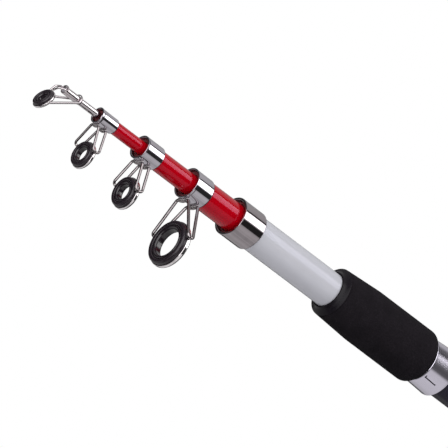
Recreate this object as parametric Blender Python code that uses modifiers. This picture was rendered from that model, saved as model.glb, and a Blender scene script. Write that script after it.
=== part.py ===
"""Telescopic fishing rod, closed, modelled as the separate pieces it is put together from.

The rod lies along X with its tip towards +X and its line guides hanging towards -Z. The origin is
on the rod's axis, over the middle of the flat land that the reel's foot rests on. Sizes are in
metres. A station is a place along X, and stations fall from the tip to the butt.
"""
import math
from collections import namedtuple

import bmesh
import bpy
from mathutils import Matrix, Vector

# Clearances, all measured on the radius or along the axis
GLUE_GAP = 0.0001        # between a glued sleeve and what it is glued on
SLIDE_GAP = 0.0002       # between a section's thick butt end and the bore it slides in
TIP_GAP = 0.00025        # between a section and the narrow mouth it leaves its neighbour by
LOCK_STEP = 0.00025      # how far a thick butt end is too big for that mouth
END_GAP = 0.0003         # between the faces of two pieces that meet end to end
SOLDER_GAP = 0.00015     # between a wire and the metal it is soldered to
RING_GAP = 0.0003        # between a wire and the ring cup it carries

# Blanks, from the thin tip to the butt
TIP_OD = 0.0024
SECOND_OD = 0.0061
THIRD_OD = 0.0096
FOURTH_OD = 0.0134
BUTT_OD = 0.0164
BUTT_REAR_OD = 0.0167
MOUTH_LENGTH = 0.024     # length of the narrow mouth at the tip end of a hollow section
SWELL_LENGTH = 0.020     # length of the thick butt end of a sliding section
TAPER_LENGTH = 0.004     # length of the cone that stops a butt end in a mouth
MOUTH_RECESS = 0.0015    # how far a blank ends behind the front of its ferrule

# What stands out of each section when the rod is closed, front of ferrule to front of ferrule
TIP_SHOWS = 0.0222
SECOND_SHOWS = 0.0279
THIRD_SHOWS = 0.0314
FOURTH_SHOWS = 0.0294
BUTT_SHOWS = 0.0656

# How far the guides of each section stand turned about the rod, seen along +X
TIP_TURN = math.radians(-12)
SECOND_TURN = math.radians(-2)
THIRD_TURN = math.radians(2)
FOURTH_TURN = math.radians(10)

# Steel ferrules over the tip end of each hollow section. The flare is how much the front of a
# ferrule stands out over its rear.
Ferrule = namedtuple("Ferrule", "length wall flare")
FERRULE_1 = Ferrule(length=0.0107, wall=0.00045, flare=0.00030)
FERRULE_2 = Ferrule(length=0.0110, wall=0.00078, flare=0.00010)
FERRULE_3 = Ferrule(length=0.0106, wall=0.00045, flare=0.00020)
FERRULE_4 = Ferrule(length=0.0139, wall=0.0010, flare=0.00010)
FERRULE_EDGE = 0.0003

# Line guides: a ring in a steel cup, carried under a ferrule by a closed wire loop
Guide = namedtuple(
    "Guide", "ring_od ring_bore ring_depth reach setback tilt wire_od foot_front foot_rear foot_half"
             " lug_rise lug_width lug_ahead foot_bend")
GUIDE_1 = Guide(ring_od=0.0132, ring_bore=0.0066, ring_depth=0.0036, reach=0.0179, setback=0.0046,
                tilt=0.0, wire_od=0.00115, foot_front=0.0020, foot_rear=0.0067, foot_half=0.0026,
                lug_rise=0.0029, lug_width=0.0038, lug_ahead=0.0002, foot_bend=0.0009)
GUIDE_2 = Guide(ring_od=0.0153, ring_bore=0.0072, ring_depth=0.0041, reach=0.0204, setback=0.0053,
                tilt=math.radians(4), wire_od=0.0013, foot_front=0.0031, foot_rear=0.0073,
                foot_half=0.0036, lug_rise=0.0020, lug_width=0.0042, lug_ahead=0.0004,
                foot_bend=0.0010)
GUIDE_3 = Guide(ring_od=0.0227, ring_bore=0.0134, ring_depth=0.0047, reach=0.0281, setback=0.0050,
                tilt=0.0, wire_od=0.00145, foot_front=0.0020, foot_rear=0.0083, foot_half=0.0037,
                lug_rise=0.0034, lug_width=0.0030, lug_ahead=0.0001, foot_bend=0.0012)
CUP_WALL = 0.0004
CUP_SHARE = 0.5          # share of a ring's depth that its steel cup wraps
INSERT_SHARE = 0.42      # share of a ring's black width that is the ceramic insert
LINER_ROUND = 0.45       # rounding of the liner's front edges, as a share of its width
INSERT_ROUND = 0.48      # rounding of the insert's edges, as a share of its width
LUG_ROUND = 0.48         # bend radius of the two corners of a lug, as a share of its width

# Tip top: a ring held ahead of a tube by two wire arms and two wire legs
TIP_TUBE_OD = 0.0036
TIP_TUBE_LENGTH = 0.0105
TIP_TUBE_RECESS = 0.0004
TIP_SLEEVE_WALL = 0.0003
TIP_RING_OD = 0.0108
TIP_RING_BORE = 0.0042
TIP_RING_DEPTH = 0.0030
TIP_RING_REACH = 0.0084
TIP_RING_AHEAD = 0.0054
TIP_RING_TILT = math.radians(-20)
TIP_RING_YAW = math.radians(-6)
TIP_ARM_OD = 0.0009
TIP_LEG_OD = 0.0011
ARM_HALF = 0.0009        # half the distance between the arms where they meet the ring
ARM_LEAN = math.radians(-23)    # how far round the ring the arms meet it, from its top
ARM_CREST_AHEAD = 0.0028
ARM_CREST_HALF = 0.0014  # half the distance between the arms at their crests
ARM_CREST_SIDE = -0.0011
ARM_CREST_DEPTH = 0.0007
ARM_CREST_BEND = 0.0012
ARM_SHOULDER_AHEAD = 0.0006
ARM_SHOULDER_BEND = 0.0008
ARM_SADDLE_BEHIND = 0.0007
ARM_WRAP = math.radians(80)
LEG_SADDLE_BEHIND = 0.0093
LEG_WRAP = math.radians(100)
LEG_GAP = 0.0003         # between a leg and the tube, where it bends off towards the ring
LEG_RING_GAP = 0.0006    # between a leg's end and the ring, as it meets the ring at a slant
SADDLE_BEND = 0.0006

# Foam grips
FOREGRIP_LENGTH = 0.0623
GRIP_OD = 0.0263
FOREGRIP_NOSE_OD = 0.0239
FOREGRIP_NOSE_TAPER = 0.017
FOREGRIP_FACE = 0.0026   # how far the front face leans back from the blank to its edge
FOREGRIP_LIP = 0.0005    # foam left at the blank, in front of the leaning face
GRIP_NOSE_ROUND = 0.0006
GRIP_TAIL_ROUND = 0.0030
REAR_GRIP_LENGTH = 0.168
REAR_GRIP_WAIST_OD = 0.0244
REAR_GRIP_NECK = 0.042   # from the front of the rear grip to its waist
REAR_GRIP_WAIST = 0.050  # length of the waist
REAR_GRIP_FLARE = 0.046  # from the waist to the full diameter
REAR_GRIP_ROUND = 0.0017

# Reel seat: a barrel with a flat land and a thread, a fixed hood, a moving hood and its nut
BARREL_OD = 0.0206
LAND_WALL = 0.00085      # what the flat land leaves of the barrel over the blank
LAND_OPEN = 0.052        # the land between the mouths of the two hoods, as the rod is stored
LAND_REAR = 0.016        # how far the land runs on behind the mouth of the moving hood
LAND_STEP = 0.0003       # how far the land drops at its ends, where the foot goes under the hoods
FIXED_HOOD_LENGTH = 0.0131
FIXED_HOOD_NOSE_OD = 0.0233
FIXED_HOOD_MOUTH_OD = 0.0237
HOOD_WALL = 0.0008
HOOD_FLANGE = 0.0010
HOOD_NOSE_EDGE = 0.0004
HOOD_MOUTH_EDGE = 0.0003
MOVING_HOOD_LENGTH = 0.0150
MOVING_HOOD_OD = 0.0240
MOVING_HOOD_POCKET = 0.0090
MOVING_HOOD_EDGE = 0.0005
POCKET_STEP = 0.0006     # how much wider the moving hood is at its pocket than at its rear
THREAD_OD = 0.0200
THREAD_DEPTH = 0.0006
THREAD_PITCH = 0.0025
THREAD_LENGTH = 0.0348
THREAD_START = 0.001     # how far behind the mouth of the moving hood the thread begins
WASHER_LENGTH = 0.0012
NUT_LENGTH = 0.0125
NUT_OD = 0.0246
NUT_EDGE = 0.0008
NUT_FLUTES = 16
FLUTE_DEPTH = 0.0006
FLUTE_RADIUS = 0.0016
TRIM_LENGTH = 0.0030
TRIM_OD = 0.0250
TRIM_EDGE = 0.0010

# Butt end: a threaded sleeve on the blank and a screw plug with a pad that the sections rest on
SLEEVE_BODY_WALL = 0.0012
SLEEVE_OVERLAP = 0.010
SLEEVE_THREAD = 0.010
SLEEVE_FLANGE = 0.0020
SLEEVE_STEP = 0.0004     # how far the threaded bore is narrower than the bore over the blank
PLUG_HEAD_LENGTH = 0.0160
PLUG_HEAD_OD = 0.0270
PLUG_HEAD_ROUND = 0.0030
PLUG_STEM = 0.0090
PAD_LENGTH = 0.0030
SEAL_WIDTH = 0.0012
BUTTON_OD = 0.0190
BUTTON_DEPTH = 0.0015
BUTTON_PROUD = 0.0010
BUTTON_EDGE = 0.0006

# Faces round a turned piece
FINE = 28
MIDDLE = 24
SMALL = 18
FLUTE_FACES = 8


def material(name, colour, roughness, metallic=0.0):
    """Make the material of one piece."""
    made = bpy.data.materials.new(name)
    made.use_nodes = True
    shader = made.node_tree.nodes["Principled BSDF"]
    shader.inputs["Base Color"].default_value = (*colour, 1.0)
    shader.inputs["Roughness"].default_value = roughness
    shader.inputs["Metallic"].default_value = metallic
    made.diffuse_color = (*colour, 1.0)
    return made


def chrome(name):
    return material(name + "_chrome", (0.62, 0.61, 0.63), 0.12, 1.0)


def red_lacquer(name):
    return material(name + "_red_lacquer", (0.42, 0.0, 0.012), 0.15)


def white_lacquer(name):
    return material(name + "_white_lacquer", (0.55, 0.55, 0.58), 0.2)


def foam(name):
    return material(name + "_foam", (0.012, 0.011, 0.012), 0.9)


def black_plastic(name):
    return material(name + "_black_plastic", (0.02, 0.018, 0.022), 0.25)


def ceramic(name):
    return material(name + "_ceramic", (0.018, 0.015, 0.017), 0.08)


def rubber(name):
    return material(name + "_rubber", (0.03, 0.03, 0.03), 0.8)


def clear_scene():
    """Remove what the scene holds and make the part's two collections."""
    for old in list(bpy.data.objects):
        bpy.data.objects.remove(old)
    made = []
    for name in ("fishing_rod", "cutters"):
        made.append(bpy.data.collections.new(name))
        bpy.context.scene.collection.children.link(made[-1])
    return made


ROD, CUTTERS = clear_scene()


def axle(name, turn=0.0):
    """An empty on the rod's axis, which carries the pieces of one body."""
    empty = bpy.data.objects.new(name, None)
    empty.rotation_euler = (turn, 0.0, 0.0)
    ROD.objects.link(empty)
    return empty


def add(name, data, paint, parent):
    """Put a mesh or curve in the rod's collection, under its body's empty."""
    piece = bpy.data.objects.new(name, data)
    piece.data.materials.append(paint)
    piece.parent = parent
    ROD.objects.link(piece)
    return piece


def round_corners(corners, radii, segments, closed=False):
    """Return the path through corners with each corner rounded to its radius."""
    path = []
    count = len(corners)
    for index, corner in enumerate(corners):
        at_end = not closed and index in (0, count - 1)
        if at_end or radii[index] == 0:
            path.append(corner)
            continue
        back = (corners[index - 1] - corner).normalized()
        onward = (corners[(index + 1) % count] - corner).normalized()
        turn = math.pi - back.angle(onward)
        reach = radii[index] * math.tan(turn / 2)
        centre = corner + (back + onward).normalized() * radii[index] / math.cos(turn / 2)
        start = corner + back * reach - centre
        pivot = start.cross(corner + onward * reach - centre)
        for step in range(segments + 1):
            path.append(centre + Matrix.Rotation(turn * step / segments, 3, pivot) @ start)
    return path


def turned(name, at, outline, faces, paint, parent, depth=0.0, tilt=0.0, yaw=0.0, hollow=True, segments=2):
    """Turn an outline of (station, radius, corner radius) about the rod's axis.

    Stations are measured from the piece's own station, at. The outline runs from the tip end along
    the outside to the butt end, and back through the bore when the piece is hollow.
    """
    corners = [Vector((point[1], 0.0, point[0])) for point in outline]
    radii = [point[2] if len(point) > 2 else 0.0 for point in outline]
    path = round_corners(corners, radii, segments, closed=hollow)
    mesh = bpy.data.meshes.new(name)
    edges = [(index, index + 1) for index in range(len(path) - 1)]
    if hollow:
        edges.append((len(path) - 1, 0))
    mesh.from_pydata(path, edges, [])
    piece = add(name, mesh, paint, parent)
    piece.location = (at, 0.0, -depth)
    piece.rotation_euler = (0.0, math.radians(90) + tilt, yaw)
    screw = piece.modifiers.new("turn", "SCREW")
    screw.steps = faces
    screw.render_steps = faces
    screw.use_merge_vertices = True
    screw.merge_threshold = 1e-6
    screw.use_smooth_shade = True
    return piece


def wire(name, path, thickness, paint, parent, closed=False):
    """Sweep a round wire along a path."""
    curve = bpy.data.curves.new(name, "CURVE")
    curve.dimensions = "3D"
    curve.bevel_depth = thickness / 2
    curve.bevel_resolution = 2
    curve.use_fill_caps = not closed
    spline = curve.splines.new("POLY")
    spline.points.add(len(path) - 1)
    for point, place in zip(spline.points, path):
        point.co = (*place, 1.0)
    spline.use_cyclic_u = closed
    return add(name, curve, paint, parent)


def cut(piece, cutter):
    """Cut one piece with a hidden cutter."""
    cutter.display_type = "WIRE"
    cutter.hide_render = True
    CUTTERS.objects.link(cutter)
    boolean = piece.modifiers.new("cut", "BOOLEAN")
    boolean.operation = "DIFFERENCE"
    boolean.solver = "EXACT"
    boolean.object = cutter


def tube_outline(length, outer, inner, edge=0.0):
    """Outline of a plain sleeve whose front is at its own station."""
    return [(0.0, outer, edge), (-length, outer, edge), (-length, inner), (0.0, inner)]


# The rod's axis: stations of the main joints, from the reel seat outwards
hood_mouth = LAND_OPEN / 2
hood_front = hood_mouth + FIXED_HOOD_LENGTH
foregrip_rear = hood_front + END_GAP
foregrip_front = foregrip_rear + FOREGRIP_LENGTH
ferrule_4_front = foregrip_front + BUTT_SHOWS
ferrule_3_front = ferrule_4_front + FOURTH_SHOWS
ferrule_2_front = ferrule_3_front + THIRD_SHOWS
ferrule_1_front = ferrule_2_front + SECOND_SHOWS
tip_tube_front = ferrule_1_front + TIP_SHOWS
moving_hood_mouth = -LAND_OPEN / 2
thread_front = moving_hood_mouth - THREAD_START
barrel_rear = thread_front - THREAD_LENGTH
trim_front = barrel_rear - END_GAP
rear_grip_front = trim_front - TRIM_LENGTH - END_GAP
rear_grip_rear = rear_grip_front - REAR_GRIP_LENGTH
flange_front = rear_grip_rear - END_GAP
flange_rear = flange_front - SLEEVE_FLANGE
blank_rear = flange_rear + SLEEVE_THREAD + END_GAP
plug_front = flange_rear + PLUG_STEM
pad_front = plug_front + END_GAP + PAD_LENGTH
sections_rear = pad_front + END_GAP


def mouth_bore(inner_od):
    """Bore of the narrow mouth that a section of the given diameter passes through."""
    return inner_od + 2 * TIP_GAP


def swell_od(own_od):
    """Diameter of a sliding section's thick butt end."""
    return mouth_bore(own_od) + 2 * LOCK_STEP


def main_bore(inner_od):
    """Bore that the thick butt end of a section of the given diameter slides in."""
    return swell_od(inner_od) + 2 * SLIDE_GAP


def blank(name, front, rear, own_od, inner_od, faces, paint, parent, rear_od=None):
    """A hollow section: narrow mouth at the tip, and a thick butt end where it slides."""
    length = front - rear
    bore = main_bore(inner_od) / 2
    mouth = mouth_bore(inner_od) / 2
    if rear_od is None:
        outside = [(0.0, own_od / 2),
                   (SWELL_LENGTH + TAPER_LENGTH - length, own_od / 2),
                   (SWELL_LENGTH - length, swell_od(own_od) / 2),
                   (-length, swell_od(own_od) / 2)]
    else:
        outside = [(0.0, own_od / 2), (-length, rear_od / 2)]
    inside = [(-length, bore),
              (-MOUTH_LENGTH, bore),
              (TAPER_LENGTH - MOUTH_LENGTH, mouth),
              (0.0, mouth)]
    return turned(name, front, outside + inside, faces, paint, parent)


def ferrule_radius(sizes, blank_od):
    """Radius of the rear end of a ferrule on a blank of the given diameter."""
    return blank_od / 2 + GLUE_GAP + sizes.wall


def ferrule(name, sizes, front, blank_od, faces, parent):
    """A steel ferrule with a slightly flared front edge."""
    bore = blank_od / 2 + GLUE_GAP
    rear = ferrule_radius(sizes, blank_od)
    outline = [(0.0, rear + sizes.flare, FERRULE_EDGE),
               (-sizes.length, rear, FERRULE_EDGE),
               (-sizes.length, bore),
               (0.0, bore + sizes.flare)]
    return turned(name, front, outline, faces, chrome(name), parent)


def ring(prefix, od, bore, depth, reach, station, tilt, faces, parent, yaw=0.0):
    """A guide ring in three pieces: steel cup, black liner and ceramic insert."""
    outer = od / 2
    inner = bore / 2
    width = outer - CUP_WALL - GLUE_GAP - inner
    insert_outer = inner + INSERT_SHARE * width
    liner_inner = insert_outer + GLUE_GAP
    liner_outer = outer - CUP_WALL - GLUE_GAP
    half = depth / 2
    cup_front = CUP_SHARE * depth - half
    flange_inner = (liner_inner + liner_outer) / 2
    liner_rear = CUP_WALL + GLUE_GAP - half
    cup = [(cup_front, outer), (-half, outer, CUP_WALL), (-half, flange_inner),
           (CUP_WALL - half, flange_inner), (CUP_WALL - half, outer - CUP_WALL),
           (cup_front, outer - CUP_WALL)]
    liner_round = LINER_ROUND * (liner_outer - liner_inner)
    liner = [(half, liner_outer, liner_round), (liner_rear, liner_outer),
             (liner_rear, liner_inner), (half, liner_inner, liner_round)]
    insert_round = INSERT_ROUND * (insert_outer - inner)
    insert = [(half - GLUE_GAP, insert_outer, insert_round), (-half, insert_outer),
              (-half, inner, insert_round), (half - GLUE_GAP, inner, insert_round)]
    for part, outline, paint in (("cup", cup, chrome), ("liner", liner, black_plastic),
                                 ("insert", insert, ceramic)):
        name = prefix + "_" + part
        turned(name, station, outline, faces, paint(name), parent, depth=reach, tilt=tilt, yaw=yaw)


def saddle_arc(station, radius, half_angle, sense, steps=4):
    """Points of a wire bent round the rod, from one side to the other.

    A sense of -1 passes under the rod and +1 passes over it. The arc runs from -Y to +Y.
    """
    points = []
    for step in range(steps + 1):
        angle = half_angle * (2 * step / steps - 1)
        points.append(Vector((station, radius * math.sin(angle), sense * radius * math.cos(angle))))
    return points


def guide_frame(name, guide, front, carrier, paint, parent):
    """The closed wire loop that hangs a guide's ring under its ferrule."""
    radius = guide.wire_od / 2
    seat = carrier + radius + SOLDER_GAP
    half_angle = math.asin(guide.foot_half / seat)
    lug_y = guide.ring_od / 2 + RING_GAP + radius
    lug_z = guide.lug_rise - guide.reach
    lug_x = front - guide.setback + guide.lug_ahead
    ahead = lug_x + guide.lug_width / 2
    behind = lug_x - guide.lug_width / 2
    bend = LUG_ROUND * guide.lug_width
    fore = saddle_arc(front - guide.foot_front, seat, half_angle, -1)
    aft = saddle_arc(front - guide.foot_rear, seat, half_angle, -1)[::-1]
    near = [Vector((ahead, lug_y, lug_z)), Vector((behind, lug_y, lug_z))]
    far = [Vector((behind, -lug_y, lug_z)), Vector((ahead, -lug_y, lug_z))]
    flat = [0.0] * (len(fore) - 2)
    foot = [guide.foot_bend, *flat, guide.foot_bend]
    corners = fore + near + aft + far
    radii = foot + [bend, bend] + foot + [bend, bend]
    wire(name, round_corners(corners, radii, 3, closed=True), guide.wire_od, paint, parent, closed=True)


def line_guide(number, guide, front, carrier, faces, parent):
    """A whole guide: wire loop, cup, liner and insert."""
    prefix = "guide_%d" % number
    name = prefix + "_frame"
    guide_frame(name, guide, front, carrier, chrome(name), parent)
    ring(prefix, guide.ring_od, guide.ring_bore, guide.ring_depth, guide.reach, front - guide.setback,
         guide.tilt, faces, parent)


def tip_section():
    """The solid tip with its sleeve and its tip top."""
    body = axle("tip_section", TIP_TURN)
    front = tip_tube_front - TIP_TUBE_RECESS
    length = front - sections_rear
    swell = swell_od(TIP_OD) / 2
    solid = [(0.0, 0.0), (0.0, TIP_OD / 2), (SWELL_LENGTH + TAPER_LENGTH - length, TIP_OD / 2),
             (SWELL_LENGTH - length, swell), (-length, swell), (-length, 0.0)]
    turned("tip_blank", front, solid, SMALL, white_lacquer("tip_blank"), body, hollow=False)
    bore = TIP_OD / 2 + GLUE_GAP
    turned("tip_top_tube", tip_tube_front, tube_outline(TIP_TUBE_LENGTH, TIP_TUBE_OD / 2, bore), SMALL,
           chrome("tip_top_tube"), body)
    sleeve_front = tip_tube_front - TIP_TUBE_LENGTH - END_GAP
    sleeve_rear = ferrule_1_front - MOUTH_RECESS + END_GAP
    turned("tip_sleeve", sleeve_front,
           tube_outline(sleeve_front - sleeve_rear, bore + TIP_SLEEVE_WALL, bore), SMALL,
           chrome("tip_sleeve"), body)
    tip_top(body)


def tip_top(body):
    """The tip ring and the two wires that hold it on the tip tube."""
    station = tip_tube_front + TIP_RING_AHEAD
    ring("tip_ring", TIP_RING_OD, TIP_RING_BORE, TIP_RING_DEPTH, TIP_RING_REACH, station,
         TIP_RING_TILT, SMALL, body, TIP_RING_YAW)
    centre = Vector((station, 0.0, -TIP_RING_REACH))
    yaw = Matrix.Rotation(TIP_RING_YAW, 3, "Z")
    upward = yaw @ Vector((math.sin(TIP_RING_TILT), 0.0, math.cos(TIP_RING_TILT)))
    sideways = yaw @ Vector((0.0, 1.0, 0.0))
    outward = upward * math.cos(ARM_LEAN) + sideways * math.sin(ARM_LEAN)
    across = sideways * math.cos(ARM_LEAN) - upward * math.sin(ARM_LEAN)
    clear = (TIP_RING_OD + TIP_ARM_OD) / 2 + RING_GAP
    end = centre + outward * math.sqrt(clear ** 2 - ARM_HALF ** 2)
    crest = Vector((tip_tube_front + ARM_CREST_AHEAD, ARM_CREST_SIDE, -ARM_CREST_DEPTH))
    apart = Vector((0.0, ARM_CREST_HALF, 0.0))
    seat = (TIP_TUBE_OD + TIP_ARM_OD) / 2 + SOLDER_GAP
    over = saddle_arc(tip_tube_front - ARM_SADDLE_BEHIND, seat, ARM_WRAP, 1)
    ahead = tip_tube_front + ARM_SHOULDER_AHEAD
    shoulders = [Vector((ahead, point.y, point.z)) for point in (over[0], over[-1])]
    arms = [end - across * ARM_HALF, crest - apart, shoulders[0], *over, shoulders[1], crest + apart,
            end + across * ARM_HALF]
    flat = [0.0] * (len(over) - 2)
    half_radii = [0.0, ARM_CREST_BEND, ARM_SHOULDER_BEND, SADDLE_BEND]
    arm_radii = half_radii + flat + half_radii[::-1]
    wire("tip_top_arms", round_corners(arms, arm_radii, 3), TIP_ARM_OD, chrome("tip_top_arms"), body)
    side = sideways * ((TIP_RING_OD + TIP_LEG_OD) / 2 + LEG_RING_GAP)
    seat = (TIP_TUBE_OD + TIP_LEG_OD) / 2 + LEG_GAP
    over = saddle_arc(tip_tube_front - LEG_SADDLE_BEHIND, seat, LEG_WRAP, 1)
    legs = [centre - side, *over, centre + side]
    leg_radii = [0.0, SADDLE_BEND, *flat, SADDLE_BEND, 0.0]
    wire("tip_top_legs", round_corners(legs, leg_radii, 2), TIP_LEG_OD, chrome("tip_top_legs"), body)


def sliding_section(name, number, front, own_od, inner_od, turn, sizes, guide, faces):
    """One of the three hollow sliding sections with its ferrule and guide."""
    body = axle(name + "_section", turn)
    blank(name + "_blank", front - MOUTH_RECESS, sections_rear, own_od, inner_od, faces,
          red_lacquer(name + "_blank"), body)
    ferrule("ferrule_%d" % number, sizes, front, own_od, faces, body)
    carrier = ferrule_radius(sizes, own_od) + sizes.flare
    line_guide(number, guide, front, carrier, faces, body)


def foregrip(body):
    """Foam grip ahead of the reel seat, slimmer at its nose, with a front face that leans back."""
    bore = BUTT_REAR_OD / 2 + GLUE_GAP
    outline = [(0.0, bore + FOREGRIP_LIP), (-FOREGRIP_FACE, FOREGRIP_NOSE_OD / 2, GRIP_NOSE_ROUND),
               (-FOREGRIP_NOSE_TAPER, GRIP_OD / 2), (-FOREGRIP_LENGTH, GRIP_OD / 2, GRIP_TAIL_ROUND),
               (-FOREGRIP_LENGTH, bore), (0.0, bore)]
    turned("foregrip", foregrip_front, outline, FINE, foam("foregrip"), body, segments=4)


def rear_grip(body):
    """Foam grip behind the reel seat, waisted for the heel of the hand."""
    bore = BUTT_REAR_OD / 2 + GLUE_GAP
    pocket = bore + SLEEVE_BODY_WALL + GLUE_GAP
    pocket_front = SLEEVE_OVERLAP + END_GAP * 2 + SLEEVE_THREAD - SLEEVE_FLANGE - REAR_GRIP_LENGTH
    waist = REAR_GRIP_WAIST_OD / 2
    waist_rear = -REAR_GRIP_NECK - REAR_GRIP_WAIST
    outline = [(0.0, TRIM_OD / 2, REAR_GRIP_ROUND), (-REAR_GRIP_NECK, waist), (waist_rear, waist),
               (waist_rear - REAR_GRIP_FLARE, GRIP_OD / 2),
               (-REAR_GRIP_LENGTH, GRIP_OD / 2, REAR_GRIP_ROUND), (-REAR_GRIP_LENGTH, pocket),
               (pocket_front, pocket), (pocket_front, bore), (0.0, bore)]
    turned("rear_grip", rear_grip_front, outline, FINE, foam("rear_grip"), body)


def thread_outline(front):
    """Zigzag of thread crests and roots, from the front of the thread to its rear."""
    points = []
    crest = THREAD_OD / 2
    turns = int((THREAD_LENGTH - THREAD_PITCH) / THREAD_PITCH)
    for turn in range(turns):
        station = front - turn * THREAD_PITCH
        points.append((station, crest - THREAD_DEPTH))
        points.append((station - THREAD_PITCH / 2, crest))
    points.append((front - turns * THREAD_PITCH, crest - THREAD_DEPTH))
    return points


def cut_flat(piece, name, front, rear, depth):
    """Cut the underside of a piece flat between two stations, at a depth under the rod's axis."""
    block = bmesh.new()
    bmesh.ops.create_cube(block, size=1.0)
    bmesh.ops.scale(block, vec=(front - rear, BARREL_OD * 2, BARREL_OD), verts=block.verts)
    shift = Vector(((front + rear) / 2, 0.0, -depth - BARREL_OD / 2))
    bmesh.ops.translate(block, vec=shift, verts=block.verts)
    mesh = bpy.data.meshes.new(name)
    block.to_mesh(mesh)
    block.free()
    cut(piece, bpy.data.objects.new(name, mesh))


def reel_seat(body):
    """The barrel, with its land cut flat for the reel's foot, and the fixed hood and trim ring."""
    bore = BUTT_REAR_OD / 2 + GLUE_GAP
    front = hood_front - HOOD_FLANGE - END_GAP
    outer = BARREL_OD / 2
    outline = [(0.0, outer), (thread_front - front, outer),
               *thread_outline(thread_front - front - THREAD_PITCH / 2),
               (barrel_rear - front, THREAD_OD / 2 - THREAD_DEPTH), (barrel_rear - front, bore), (0.0, bore)]
    barrel = turned("seat_barrel", front, outline, FINE, black_plastic("seat_barrel"), body)
    beyond = front + END_GAP
    land_rear = moving_hood_mouth - LAND_REAR
    land_depth = bore + LAND_WALL
    cut_flat(barrel, "land_cutter", beyond, land_rear, land_depth)
    foot_depth = land_depth - LAND_STEP
    cut_flat(barrel, "front_foot_cutter", beyond, hood_mouth - END_GAP, foot_depth)
    cut_flat(barrel, "rear_foot_cutter", moving_hood_mouth + END_GAP, land_rear, foot_depth)
    hood_bore = BARREL_OD / 2 + GLUE_GAP
    nose = FIXED_HOOD_NOSE_OD / 2
    mouth = FIXED_HOOD_MOUTH_OD / 2
    hood = [(0.0, nose, HOOD_NOSE_EDGE), (-FIXED_HOOD_LENGTH, mouth, HOOD_MOUTH_EDGE),
            (-FIXED_HOOD_LENGTH, mouth - HOOD_WALL), (-HOOD_FLANGE, hood_bore),
            (-HOOD_FLANGE, bore), (0.0, bore)]
    turned("fixed_hood", hood_front, hood, FINE, chrome("fixed_hood"), body)
    turned("seat_trim_ring", trim_front, tube_outline(TRIM_LENGTH, TRIM_OD / 2, bore, TRIM_EDGE),
           FINE, chrome("seat_trim_ring"), body)


def moving_hood():
    """The hood that is pushed over the rear of the reel's foot, with its soft lining and washer."""
    body = axle("moving_hood_axle")
    bearing = BARREL_OD / 2 + SLIDE_GAP
    pocket = bearing + POCKET_STEP
    outer = MOVING_HOOD_OD / 2
    shell = [(0.0, outer, MOVING_HOOD_EDGE), (-MOVING_HOOD_LENGTH, outer, MOVING_HOOD_EDGE),
             (-MOVING_HOOD_LENGTH, bearing), (-MOVING_HOOD_POCKET, bearing),
             (-MOVING_HOOD_POCKET, pocket), (0.0, pocket)]
    turned("moving_hood", moving_hood_mouth, shell, FINE, chrome("moving_hood"), body)
    lining = tube_outline(MOVING_HOOD_POCKET - 2 * END_GAP, pocket - GLUE_GAP, bearing)
    turned("moving_hood_lining", moving_hood_mouth - END_GAP, lining, FINE,
           rubber("moving_hood_lining"), body)


def lock_nut():
    """The fluted nut that drives the moving hood, with its steel washer."""
    body = axle("lock_nut_axle")
    bore = THREAD_OD / 2 + SLIDE_GAP
    washer_front = moving_hood_mouth - MOVING_HOOD_LENGTH - END_GAP
    turned("nut_washer", washer_front, tube_outline(WASHER_LENGTH, MOVING_HOOD_OD / 2, bore), FINE,
           chrome("nut_washer"), body)
    nut_front = washer_front - WASHER_LENGTH - END_GAP
    outline = tube_outline(NUT_LENGTH, NUT_OD / 2, bore, NUT_EDGE)
    nut = turned("lock_nut", nut_front, outline, FINE, black_plastic("lock_nut"), body)
    flutes = bmesh.new()
    pitch_radius = NUT_OD / 2 + FLUTE_RADIUS - FLUTE_DEPTH
    for flute in range(NUT_FLUTES):
        angle = math.tau * flute / NUT_FLUTES
        lay = (Matrix.Rotation(angle, 4, "X")
               @ Matrix.Translation((nut_front - NUT_LENGTH / 2, 0.0, pitch_radius))
               @ Matrix.Rotation(math.radians(90), 4, "Y"))
        bmesh.ops.create_cone(flutes, cap_ends=True, segments=FLUTE_FACES, radius1=FLUTE_RADIUS,
                              radius2=FLUTE_RADIUS, depth=NUT_LENGTH * 2, matrix=lay)
    mesh = bpy.data.meshes.new("flute_cutter")
    flutes.to_mesh(mesh)
    flutes.free()
    cut(nut, bpy.data.objects.new("flute_cutter", mesh))


def handle():
    """The butt section and everything that is glued to it."""
    body = axle("handle")
    blank("butt_blank", ferrule_4_front - MOUTH_RECESS, blank_rear, BUTT_OD, FOURTH_OD, FINE,
          white_lacquer("butt_blank"), body, rear_od=BUTT_REAR_OD)
    ferrule("ferrule_4", FERRULE_4, ferrule_4_front, BUTT_OD, FINE, body)
    foregrip(body)
    reel_seat(body)
    rear_grip(body)
    bore = BUTT_REAR_OD / 2 + GLUE_GAP
    thread = bore - SLEEVE_STEP
    outer = bore + SLEEVE_BODY_WALL
    sleeve_front = blank_rear + SLEEVE_OVERLAP
    step = blank_rear - END_GAP - sleeve_front
    flange = flange_front - sleeve_front
    rear = flange_rear - sleeve_front
    sleeve = [(0.0, outer), (flange, outer), (flange, PLUG_HEAD_OD / 2), (rear, PLUG_HEAD_OD / 2),
              (rear, thread), (step, thread), (step, bore), (0.0, bore)]
    turned("butt_sleeve", sleeve_front, sleeve, FINE, chrome("butt_sleeve"), body)


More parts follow.
